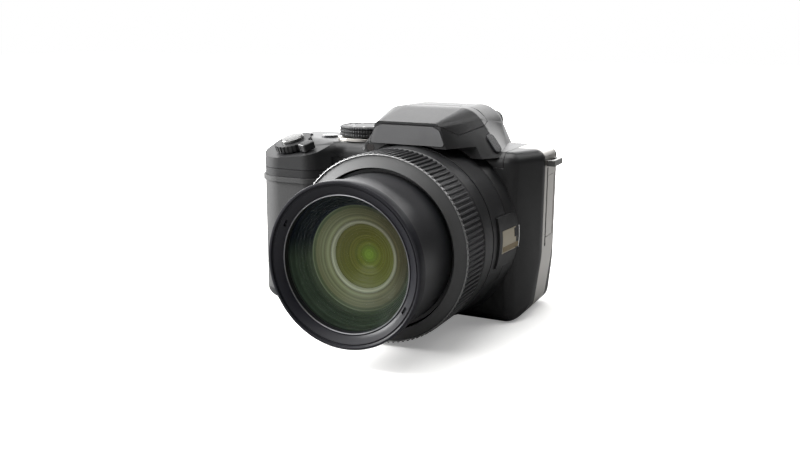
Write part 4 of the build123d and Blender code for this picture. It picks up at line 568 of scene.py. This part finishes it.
def eye_finish(name, stops, low, high, way=(0, 1), blend=8.0):
    """Colour stops (radius in mm, colour), times low on one side and times high on the other:
    painted light on the low side, painted shade on the high side.

    The way, as x and z, points to the high side; blend is half the width of the change in mm."""
    reach = stops[-1][0]
    tree, shader = new_finish(name)
    centred = vector_step(tree, "SUBTRACT", {0: object_place(tree), 1: mm(0, 0, AXIS_Z)})
    flat = vector_step(tree, "MULTIPLY", {0: centred, 1: (1, 0, 1)})
    radius = vector_step(tree, "LENGTH", {0: flat}, "Value")
    share = added(tree, "ShaderNodeMath", {0: radius, 1: reach * MM}, operation="DIVIDE")
    ramp = added(tree, "ShaderNodeValToRGB", {"Fac": share.outputs["Value"]})
    ends = ramp.color_ramp.elements
    ends[0].position, ends[0].color = 0, (*stops[0][1], 1)
    ends[1].position, ends[1].color = 1, (*stops[-1][1], 1)
    for stop, colour in stops[1:-1]:
        ends.new(stop / reach).color = (*colour, 1)
    # The low and high tints are painted light and painted shade on either side of the rings.
    towards = Vector((way[0], 0, way[1])).normalized()
    along = vector_step(tree, "DOT_PRODUCT", {0: flat, 1: towards}, "Value")
    side = ranged(tree, along, 0.0, 1.0, -blend * MM, blend * MM)
    painted_light_and_shade = mixed(tree, side, (*low, 1), (*high, 1))
    ripple = added(tree, "ShaderNodeTexNoise", {"W": radius, "Scale": RIPPLE_SCALE},
                   noise_dimensions="1D").outputs["Fac"]
    faint = ranged(tree, ripple, RIPPLE_LOW, RIPPLE_HIGH, *NOISE_SPAN)
    tinted = vector_step(tree, "MULTIPLY", {0: ramp.outputs["Color"], 1: painted_light_and_shade})
    final = vector_step(tree, "SCALE", {0: tinted, "Scale": faint})
    gloss = ranged(tree, ripple, EYE_ROUGH - EYE_ROUGH_SPREAD, EYE_ROUGH + EYE_ROUGH_SPREAD)
    # The emitted colour is a painted glow that stands in for the light the coatings send back.
    feed(shader, {
        "Coat Weight": EYE_COAT,
        "Coat Roughness": EYE_COAT_ROUGH,
        "Specular IOR Level": EYE_SPEC,
        "Emission Strength": EYE_PAINTED_GLOW,
        "Emission Color": final,
        "Base Color": vector_step(tree, "SCALE", {0: final, "Scale": EYE_ALBEDO}),
        "Roughness": gloss,
    })


# These four finishes paint reflected rings, with painted shade towards their high side.
eye_finish(
    "funnel_green",
    [(0, (0.020, 0.028, 0.018)), (19.1, (0.036, 0.046, 0.030)), (20.5, (0.020, 0.029, 0.019)),
     (24, (0.018, 0.026, 0.018))],
    (1.0, 1.0, 1.0), (0.15, 0.15, 0.35), (0.1, 1), 4)
eye_finish(
    "second_face",
    [(0, (0.14, 0.15, 0.08)), (13.2, (0.15, 0.155, 0.10)), (15.5, (0.12, 0.125, 0.08)),
     (17.4, (0.09, 0.092, 0.056)), (18.3, (0.040, 0.050, 0.028)), (18.9, (0.10, 0.12, 0.08))],
    (1.10, 1.12, 1.00), (0.42, 0.36, 0.30), (1, 0.4), 14)
eye_finish(
    "pale_ring",
    [(0, (0.22, 0.23, 0.16)), (11.9, (0.24, 0.25, 0.18)), (12.4, (0.26, 0.27, 0.20)),
     (13.2, (0.22, 0.23, 0.17))],
    (1.0, 1.0, 1.0), (0.50, 0.46, 0.44), (0.6, 1), 12)
eye_finish(
    "eye_green",
    [(0, (0.080, 0.135, 0.010)), (2.2, (0.075, 0.115, 0.010)), (3.6, (0.072, 0.088, 0.010)),
     (6.0, (0.066, 0.070, 0.010)), (8.6, (0.062, 0.066, 0.011)), (11.8, (0.075, 0.080, 0.018))],
    (1.45, 1.45, 2.1), (1.05, 0.95, 1.3), (-0.2, 1), 9)
print("finishes with the eye:", len(finishes))

# %% The funnel, the second face, the pale ring and the eye
FUNNEL_STEPS = 6
FUNNEL_FRONT = (-70.3, 23.0)  # y and radius of the first step
STEP_LONG, STEP_IN = 1.1, 0.70
STEP_SHAPE = ((0, 0), (0.95, 0.36), (1.0, 0.62))  # how far back, and how far inwards
BOWL_STEP_SHAPE = ((0, 0), (0.12, 0.10), (0.18, 0.28))
INNER_SEGMENTS = 128

funnel = [(-71.0, 26.6), (-71.0, 23.4)]
for step in range(FUNNEL_STEPS):
    y = FUNNEL_FRONT[0] + STEP_LONG * step
    radius = FUNNEL_FRONT[1] - STEP_IN * step
    funnel += [(y + back, radius - inwards) for back, inwards in STEP_SHAPE]
funnel += [(-63.6, 18.95), (-63.6, 26.6)]
turned("front_cell_turned", funnel, "funnel_green", "front_cell", ["front_cell"])
face_outline = [
    (-62.9, 19.4), (-63.6, 18.95), (-63.35, 18.1), (-62.6, 16.4), (-61.75, 15.0), (-61.2, 13.8),
    (-60.9, 13.12), (-60.2, 13.12), (-60.2, 19.4),
]
turned("second_glass_face", face_outline, "second_face", "inner_glass", ["inner_glass"])
ring_outline = [
    (-58.0, 26.6), (-59.9, 26.6), (-60.1, 13.2), (-60.75, 13.12), (-60.88, 12.95),
    (-60.88, 11.95), (-60.70, 11.70), (-60.0, 11.62), (-58.0, 11.62),
]
turned("inner_ring_turned", ring_outline, "pale_ring", "inner_ring", ["inner_ring"])
bowl_steps = (
    (-59.7, 10.9), (-59.1, 9.8), (-58.5, 8.6), (-57.9, 7.4), (-57.4, 6.2), (-56.9, 5.0),
)
bowl = [(-60.0, 11.65)]
for y, radius in bowl_steps:
    bowl += [(y + back, radius - inwards) for back, inwards in BOWL_STEP_SHAPE]
bowl += [(-56.3, 4.0), (-56.5, 2.8), (-56.6, 1.4), (-56.65, 0)]
turned("eye_bowl", bowl, "eye_green", "inner_glass", closed=False, segments=INNER_SEGMENTS)
print("eye outline points:", len(bowl))

# %% [markdown]
# ## The front glass
# The real element is thick and strongly curved. Here it is a thin shell with a gentle bulge: its
# two faces are parabolas, which near the middle are as good as the spheres that a lens is ground
# to.

# %% The front glass
GLASS_EDGE_R = 23.2
GLASS_FACES = ((-72.5, 1.4), (-71.6, 1.2))  # each face's y in the middle, and its fall to the edge
GLASS_STEPS = 12

shares = [index / GLASS_STEPS for index in range(GLASS_STEPS + 1)]
glass_outline = []
for (middle_y, fall), run in zip(GLASS_FACES, (shares[::-1], shares)):
    glass_outline += [(middle_y + fall * share * share, GLASS_EDGE_R * share) for share in run]
turned("front_glass_turned", glass_outline, "front_glass_coated", "front_glass", ["front_glass"],
       segments=INNER_SEGMENTS)
print("front glass outline points:", len(glass_outline))

# %% [markdown]
# ## Ribs
# The ribbed sleeve has a hundred and eight ribs, all alike. Geometry Nodes place them: a circle
# with one point for each rib, a copy of the rib on each point turned to face outwards, and the
# copies made real. The same tree later places the teeth of the bright ring and the pads of the mode
# dial.

# %% A Geometry Nodes tree that repeats a piece round a circle
BAR_SHARP = 50


def circle_tree():
    """Repeats an object on a circle about local Z, each copy's X pointing outwards."""
    tree = bpy.data.node_groups.new("round_a_circle", "GeometryNodeTree")
    face = tree.interface
    face.new_socket("Geometry", in_out="OUTPUT", socket_type="NodeSocketGeometry")
    for name, kind in (("Repeated piece", "Object"), ("Count", "Int"), ("Radius", "Float"),
                       ("Finish", "Material")):
        face.new_socket(name, in_out="INPUT", socket_type="NodeSocket" + kind)
    given = tree.nodes.new("NodeGroupInput")
    count = given.outputs["Count"]
    circle = added(tree, "GeometryNodeMeshCircle",
                   {"Vertices": count, "Radius": given.outputs["Radius"]})
    index = tree.nodes.new("GeometryNodeInputIndex").outputs["Index"]
    share = added(tree, "ShaderNodeMath", {0: index, 1: count}, operation="DIVIDE")
    angle = added(tree, "ShaderNodeMath", {0: share.outputs["Value"], 1: math.tau},
                  operation="MULTIPLY")
    spin = added(tree, "ShaderNodeCombineXYZ", {"Z": angle.outputs["Value"]})
    source = added(tree, "GeometryNodeObjectInfo", {"Object": given.outputs["Repeated piece"]})
    copies = added(tree, "GeometryNodeInstanceOnPoints", {
        "Points": circle.outputs["Mesh"],
        "Instance": source.outputs["Geometry"],
        "Rotation": spin.outputs["Vector"],
    })
    real = added(tree, "GeometryNodeRealizeInstances", {"Geometry": copies.outputs["Instances"]})
    painted = added(tree, "GeometryNodeSetMaterial",
                    {"Geometry": real.outputs["Geometry"], "Material": given.outputs["Finish"]})
    added(tree, "NodeGroupOutput", {"Geometry": painted.outputs["Geometry"]})
    return tree


round_a_circle = circle_tree()


def repeated(name, item, count, radius, finish, matrix, node):
    """The item's mesh repeated round a circle, moved into place by the matrix, as one mesh."""
    source = in_scene(name + "_item", item)
    holder = in_scene(name + "_holder", bpy.data.meshes.new(name + "_holder"))
    run = holder.modifiers.new("round_a_circle", "NODES")
    run.node_group = round_a_circle
    sockets = {socket.name: socket.identifier
               for socket in round_a_circle.interface.items_tree if socket.in_out == "INPUT"}
    run[sockets["Repeated piece"]] = source
    run[sockets["Count"]] = count
    run[sockets["Radius"]] = radius * MM
    run[sockets["Finish"]] = finishes[finish]
    made = evaluated_mesh(holder)
    made.name = name
    made.transform(matrix)
    for thing in (source, holder):
        bpy.data.objects.remove(thing)
    print(name, "faces:", len(made.polygons))
    return placed(made, node)


def bar(sections, points, name):
    """A closed bar along Z: each section is (z, share of width, share of height)."""
    loops = [[mm(x * high, y * wide, z) for x, y in points] for z, wide, high in sections]
    return joined(lofted(loops), name, "sleeve_plastic", BAR_SHARP)


# %% The ribbed sleeve
RIBS = 108
RIB_FOOT_R = 34.28

sleeve_outline = [
    (-48.50, 32.75), (-48.50, 34.15), (-48.40, 34.28), (-33.6, 34.28), (-32.9, 34.50),
    (-32.5, 34.82), (-32.0, 34.90), (-24.6, 34.90), (-24.42, 34.80), (-24.40, 32.75),
]
turned("sleeve_turned", sleeve_outline, "sleeve_plastic", "ribbed_sleeve", ["ribbed_sleeve"])
rib_profile = [
    (-0.25, -0.56), (0.22, -0.54), (0.55, -0.40), (0.70, -0.18), (0.70, 0.18), (0.55, 0.40),
    (0.22, 0.54), (-0.25, 0.56),
]
rib_sections = [
    (-48.45, 0.8, 0.45), (-48.2, 0.98, 0.9), (-47.9, 1, 1), (-34.3, 1, 1), (-33.7, 0.95, 0.85),
    (-33.2, 0.75, 0.45),
]
rib = bar(rib_sections, rib_profile, "rib")
lens_way = Matrix.Translation(mm(0, 0, AXIS_Z)) @ Matrix.Rotation(math.radians(-90), 4, "X")
repeated("sleeve_ribs", rib, RIBS, RIB_FOOT_R, "sleeve_plastic", lens_way, "ribbed_sleeve")

# %% [markdown]
# ## The bright ring
# A thin ring of bright metal closes the sleeve's front. It is turned with a bead, and its rim is
# knurled with one small tooth for each rib, so that from the side it breaks up into a row of tiny
# lights.

# %% The bright ring and its teeth
TOOTH_FOOT_R = 34.66

bead_outline = [
    (-48.52, 34.28), (-49.30, 34.28), (-49.46, 34.34), (-49.50, 34.45), (-49.44, 34.56),
    (-49.28, 34.62), (-48.52, 34.62),
]
turned("silver_bead", bead_outline, "ring_metal", "silver_ring", ["silver_ring"])
tooth_profile = [
    (-0.2, -0.42), (0.12, -0.40), (0.30, -0.22), (0.30, 0.22), (0.12, 0.40), (-0.2, 0.42),
]
tooth_sections = [(-49.34, 0.8, 0.4), (-49.2, 1, 1), (-48.7, 1, 1), (-48.54, 0.9, 0.8)]
tooth = bar(tooth_sections, tooth_profile, "tooth")
repeated("silver_teeth", tooth, RIBS, TOOTH_FOOT_R, "tooth_metal", lens_way, "silver_ring")

# %% [markdown]
# ## The mode dial
# The real dial is a turned metal drum whose rim is cut into rows of small square pads for the
# thumb. Its top is a slightly sunken disc with marks. Nothing is copied onto it but plain numbers,
# which any dial may have. The pads repeat, so the tree for the ribs places them too, in three rows.

# %% The drum and its pads
DIAL = (-35.3, 8.5)
PAD_ROWS = ((69.95, 70.95), (71.4, 72.4), (72.85, 73.65))
PADS_A_ROW = 60
PAD_FOOT_R = 10.72
PAD_CHAMFER = 0.15


def swept_upright(outline, centre, segments=96):
    """A bmesh turned about a vertical line from (radius, z) points in millimetres."""
    loops = []
    for radius, z in outline:
        loop = []
        for index in range(segments):
            angle = math.tau * index / segments
            across = (radius * math.cos(angle), radius * math.sin(angle))
            loop.append(mm(centre[0] + across[0], centre[1] + across[1], z))
        loops.append(loop)
    return lofted(loops)


drum = [
    (2.4, 61.2), (2.4, 69.6), (10.4, 69.6), (10.75, 69.9), (10.75, 70.9), (10.45, 71.05),
    (10.45, 71.3), (10.75, 71.45), (10.75, 72.35), (10.45, 72.5), (10.45, 72.75), (10.75, 72.9),
    (10.75, 73.6), (10.4, 74.02), (9.9, 74.1), (9.3, 74.1), (9.05, 73.85), (0.4, 73.85),
]
placed(joined(swept_upright(drum, DIAL), "dial_drum", "dial_metal"), "mode_dial", "mode_dial")
pad_profile = [
    (-0.3, -0.36), (0.18, -0.34), (0.34, -0.22), (0.34, 0.22), (0.18, 0.34), (-0.3, 0.36),
]
for row, (low, high) in enumerate(PAD_ROWS):
    pad_sections = [
        (low, 0.9, 0.6), (low + PAD_CHAMFER, 1, 1), (high - PAD_CHAMFER, 1, 1), (high, 0.9, 0.6),
    ]
    pad = bar(pad_sections, pad_profile, "pad")
    there = Matrix.Translation(mm(*DIAL, 0))
    repeated(f"dial_pads_{row}", pad, PADS_A_ROW, PAD_FOOT_R, "dial_metal", there, "mode_dial")

# %% The dial's figures
FIGURES = 9
FIGURE_TURN = 40  # degrees from one to the next
FIGURE_R = 6.9
FIGURE_Z = 73.86
FIGURE_HEIGHT, FIGURE_THICK = 2.4, 0.05


def figure(name, words, matrix):
    """A plain raised figure on the dial, centred on the matrix's origin and made a mesh."""
    line = bpy.data.curves.new(name, "FONT")
    line.body = words
    line.size = FIGURE_HEIGHT * MM
    line.align_x = "CENTER"
    line.align_y = "CENTER"
    line.extrude = FIGURE_THICK * MM
    holder = in_scene(name, line)
    mesh = evaluated_mesh(holder)
    bpy.data.objects.remove(holder)
    mesh.name = name
    mesh.transform(matrix)
    mesh.materials.clear()
    mesh.materials.append(finishes["mark_paint"])
    return placed(mesh, "mode_dial")


surface("mark_paint", (0.72, 0.72, 0.71), 0.5, 0.2, 0.004, 0.0)
for place in range(FIGURES):
    spin = Matrix.Rotation(math.radians(-FIGURE_TURN * place), 4, "Z")
    out = spin @ Matrix.Translation(mm(0, FIGURE_R, 0))
    figure(f"dial_figure_{place}", str(place + 1), Matrix.Translation(mm(*DIAL, FIGURE_Z)) @ out)
print("dial figures:", FIGURES)

# %% [markdown]
# ## Marks on the back
# The screen's glass is one dark pane with a printed border, and the lit part behind it is blacker
# still. The buttons carry the plainest marks there are: a red dot for recording, three bars for the
# menu, four arrows round the pad. Print has hardly any thickness, so each mark is a thin prism that
# stands a few hundredths of a millimetre out of its button.

# %% Marks on the back
MARK_RISE, MARK_SUNK = 0.06, 0.05
DOT_POINTS = 32
CORNER_TURNS = (0, 30, 60, 90)
PANEL, PANEL_CORNER, PANEL_RISE = (-24.5, 31.5, 12.0, 53.0), 0.6, 0.02
RECORD_DOT = (-41.5, 51.5, 1.1)  # x, z and radius
MENU_SIDES, MENU_FOOT = (-43.2, -40.8), 37.3
MENU_BARS, MENU_BAR_PITCH, MENU_BAR_HIGH, MENU_BAR_CORNER = 3, 0.95, 0.4, 0.1
PAD_CENTRE, CENTRE_MARK_R = (-53.5, 26.0), 0.7
ARROW = ((7.7, 0), (6.6, 0.8), (6.6, -0.8))  # outwards from the pad's centre, and across


def tile(name, outline, finish, node, rise=MARK_RISE):
    """A thin prism on a node's rear face, from (x, z) points in millimetres."""
    level = max(vert.co[1] for vert in frame["nodes"][node].data.vertices) / MM
    loops = [[mm(x, y, z) for x, z in outline] for y in (level - MARK_SUNK, level + rise)]
    return placed(joined(lofted(loops), name, finish), node)


def rounded_box(x0, x1, z0, z1, corner):
    """The (x, z) outline of a rectangle with round corners."""
    points = []
    for cx, cz, start in ((x1, z1, 0), (x0, z1, 90), (x0, z0, 180), (x1, z0, 270)):
        mx = cx + corner * (1 if cx == x0 else -1)
        mz = cz + corner * (1 if cz == z0 else -1)
        for turn_on in CORNER_TURNS:
            angle = math.radians(start + turn_on)
            points.append((mx + corner * math.cos(angle), mz + corner * math.sin(angle)))
    return points


def dot(x, z, radius):
    """A round (x, z) outline."""
    angles = [math.tau * index / DOT_POINTS for index in range(DOT_POINTS)]
    return [(x + radius * math.cos(angle), z + radius * math.sin(angle)) for angle in angles]


panel = rounded_box(*PANEL, PANEL_CORNER)
tile("display_panel", panel, "display_black", "screen", PANEL_RISE)
tile("record_dot", dot(*RECORD_DOT), "mark_red", "record_button")
for bar_index in range(MENU_BARS):
    low = MENU_FOOT + MENU_BAR_PITCH * bar_index
    bar_outline = rounded_box(*MENU_SIDES, low, low + MENU_BAR_HIGH, MENU_BAR_CORNER)
    tile(f"menu_bar_{bar_index}", bar_outline, "mark_paint", "menu_button")
for side in range(4):
    spin = math.radians(90 * side)
    arrow = []
    for along, across in ARROW:
        arrow.append((PAD_CENTRE[0] + along * math.cos(spin) - across * math.sin(spin),
                      PAD_CENTRE[1] + along * math.sin(spin) + across * math.cos(spin)))
    tile(f"pad_arrow_{side}", arrow, "mark_paint", "pad_ring")
tile("centre_mark", dot(*PAD_CENTRE, CENTRE_MARK_R), "mark_paint", "centre_button")
print("marks on the back done")

# %% [markdown]
# ## The thread below
# The tripod bush has a quarter-inch thread, twenty turns to the inch. A real thread is one long
# spiral. Seen through the small hole, rings at the same pitch look the same, and they are turned
# from an outline like everything else that is round. The two flat ends are opened again afterwards.

# %% The thread of the tripod bush
BUSH = (0, 17.2)
PITCH = 1.27
THREAD_TURNS, THREAD_START = 4, 0.5
CREST_UP, ROOT_UP = 0.45, 0.9  # the rest of each turn is flat
CREST_R, ROOT_R, WALL_R = 2.30, 2.56, 2.9
THREAD_WELD = 0.001
THREAD_SEGMENTS = 64

turns = []
for index in range(THREAD_TURNS):
    z = THREAD_START + PITCH * index
    turns += [(ROOT_R, z), (CREST_R, z + CREST_UP), (ROOT_R, z + ROOT_UP)]
thread_outline = turns + [(WALL_R, turns[-1][1]), (WALL_R, turns[0][1])]
thread = swept_upright(thread_outline + thread_outline[:1], BUSH, THREAD_SEGMENTS)
bmesh.ops.remove_doubles(thread, verts=thread.verts, dist=THREAD_WELD * MM)
ends = [face for face in thread.faces if len(face.verts) > 4]
bmesh.ops.delete(thread, geom=ends, context="FACES_ONLY")
placed(joined(thread, "bush_thread", "steel"), "tripod_bush")
print("thread outline points:", len(thread_outline))

# %% [markdown]
# ## The studio
# The picture is taken on a white sweep, so floor and background are one white. The paper adds white
# of its own to camera rays only: a little near the object, where its shadow must stay, and more and
# more further out. To all other rays the paper is grey, so that it throws little light up at the
# object and the right flank stays nearly black.

# %% Floor and world
REACH = 3.0  # metres
PAPER_BOUNCE, PAPER_SEEN = (0.26, 0.26, 0.26, 1), (0.90, 0.895, 0.88, 1)
SHADOW_CENTRE = (-0.01, -0.01, 0)
FADE_FROM, FADE_TO = 0.06, 0.34  # metres from that centre
WHITE_NEAR, WHITE_FAR = 0.24, 1.0
PAPER_ROUGH, PAPER_SPEC = 0.9, 0.1
WORLD_GLOW, WORLD_SEEN = 0.045, 1.0

floor_mesh = bpy.data.meshes.new("floor")
floor_mesh.from_pydata(
    [(-REACH, -REACH, 0), (REACH, -REACH, 0), (REACH, REACH, 0), (-REACH, REACH, 0)],
    [], [(0, 1, 2, 3)])
floor = in_scene("floor", floor_mesh)
tree, shader = new_finish("floor_paper")
to_camera = tree.nodes.new("ShaderNodeLightPath").outputs["Is Camera Ray"]
away = vector_step(tree, "DISTANCE", {0: object_place(tree), 1: SHADOW_CENTRE}, "Value")
white = ranged(tree, away, WHITE_NEAR, WHITE_FAR, FADE_FROM, FADE_TO,
               interpolation_type="SMOOTHSTEP")
seen = added(tree, "ShaderNodeMath", {0: white, 1: to_camera}, operation="MULTIPLY")
feed(shader, {
    "Base Color": mixed(tree, to_camera, PAPER_BOUNCE, PAPER_SEEN),
    "Roughness": PAPER_ROUGH,
    "Specular IOR Level": PAPER_SPEC,
    "Emission Color": (1, 1, 1, 1),
    "Emission Strength": seen.outputs["Value"],
})
floor_mesh.materials.append(finishes["floor_paper"])

world = bpy.data.worlds.new("studio")
bpy.context.scene.world = world
world.use_nodes = True
seen_sky = world.node_tree.nodes.new("ShaderNodeLightPath").outputs["Is Camera Ray"]
feed(world.node_tree.nodes["Background"], {
    "Color": (1, 1, 1, 1),
    "Strength": ranged(world.node_tree, seen_sky, WORLD_GLOW, WORLD_SEEN),
})
print("floor:", 2 * REACH, "m square")

# %% [markdown]
# ## The lamps
# A wide softbox hangs overhead, and a bright wall behind the object gives all the flat tops their
# sheen. The strongest lamp stands on the left and shapes the lens. A weak one in front lifts the
# blacks, and a weaker one behind on the right draws a thin light along the flank's edges.


# %% Lamps
def softbox(name, place, aim, size, power):
    """An area lamp at one point, aimed at another, in metres and watts, hidden from the camera."""
    lamp = bpy.data.lights.new(name, "AREA")
    lamp.shape = "RECTANGLE"
    lamp.size, lamp.size_y = size
    lamp.energy = power
    holder = in_scene(name, lamp)
    holder.location = place
    way = Vector(aim) - Vector(place)
    holder.rotation_euler = way.to_track_quat("-Z", "Y").to_euler()
    holder.visible_camera = False


softbox("top_softbox", (-0.12, -0.05, 0.95), (0, 0, 0.04), (0.9, 0.9), 14)
softbox("bright_wall", (-0.45, 1.25, 0.45), (0, 0, 0.06), (1.7, 0.8), 16)
softbox("left_softbox", (-1.0, -0.20, 0.45), (0, -0.02, 0.04), (0.6, 0.6), 42)
softbox("front_softbox", (-0.48, -0.90, 0.50), (0, -0.02, 0.04), (0.6, 0.6), 5)
softbox("back_right_softbox", (0.55, 0.45, 0.80), (0, 0, 0.05), (0.5, 0.5), 2.5)
print("lamps:", len(bpy.data.lights))

# %% [markdown]
# ## The camera that takes the picture
# Its place was found by matching the lens rings and the casing's corners to the photograph: it
# stands a little over a third of a metre away, to the object's own left and a little above it. The
# focal length was found in pixels, so it is scaled from the picture's width to the sensor's.

# %% The camera that takes the picture
FOCAL_PIXELS, FRAME_PIXELS = 900, 800
SENSOR_WIDTH = 36
CLIP_START = 0.01
VIEW_PLACE = (142.94, -330.62, 113.6)

view = bpy.data.cameras.new("view")
view.sensor_width = SENSOR_WIDTH
view.lens = FOCAL_PIXELS / FRAME_PIXELS * view.sensor_width
view.clip_start = CLIP_START
view_holder = in_scene("view", view)
right = Vector((0.901786, 0.432141, 0.006003))
up = Vector((-0.100386, 0.195932, 0.975466))
back = -Vector((-0.420363, 0.880264, -0.22007))
turn = Matrix((right, up, back)).transposed().to_4x4()
view_holder.matrix_world = Matrix.Translation(mm(*VIEW_PLACE)) @ turn
bpy.context.scene.camera = view_holder
bpy.context.scene.view_settings.view_transform = "Standard"
print("focal length:", view.lens, "mm")

# %% The end
print("scene built")
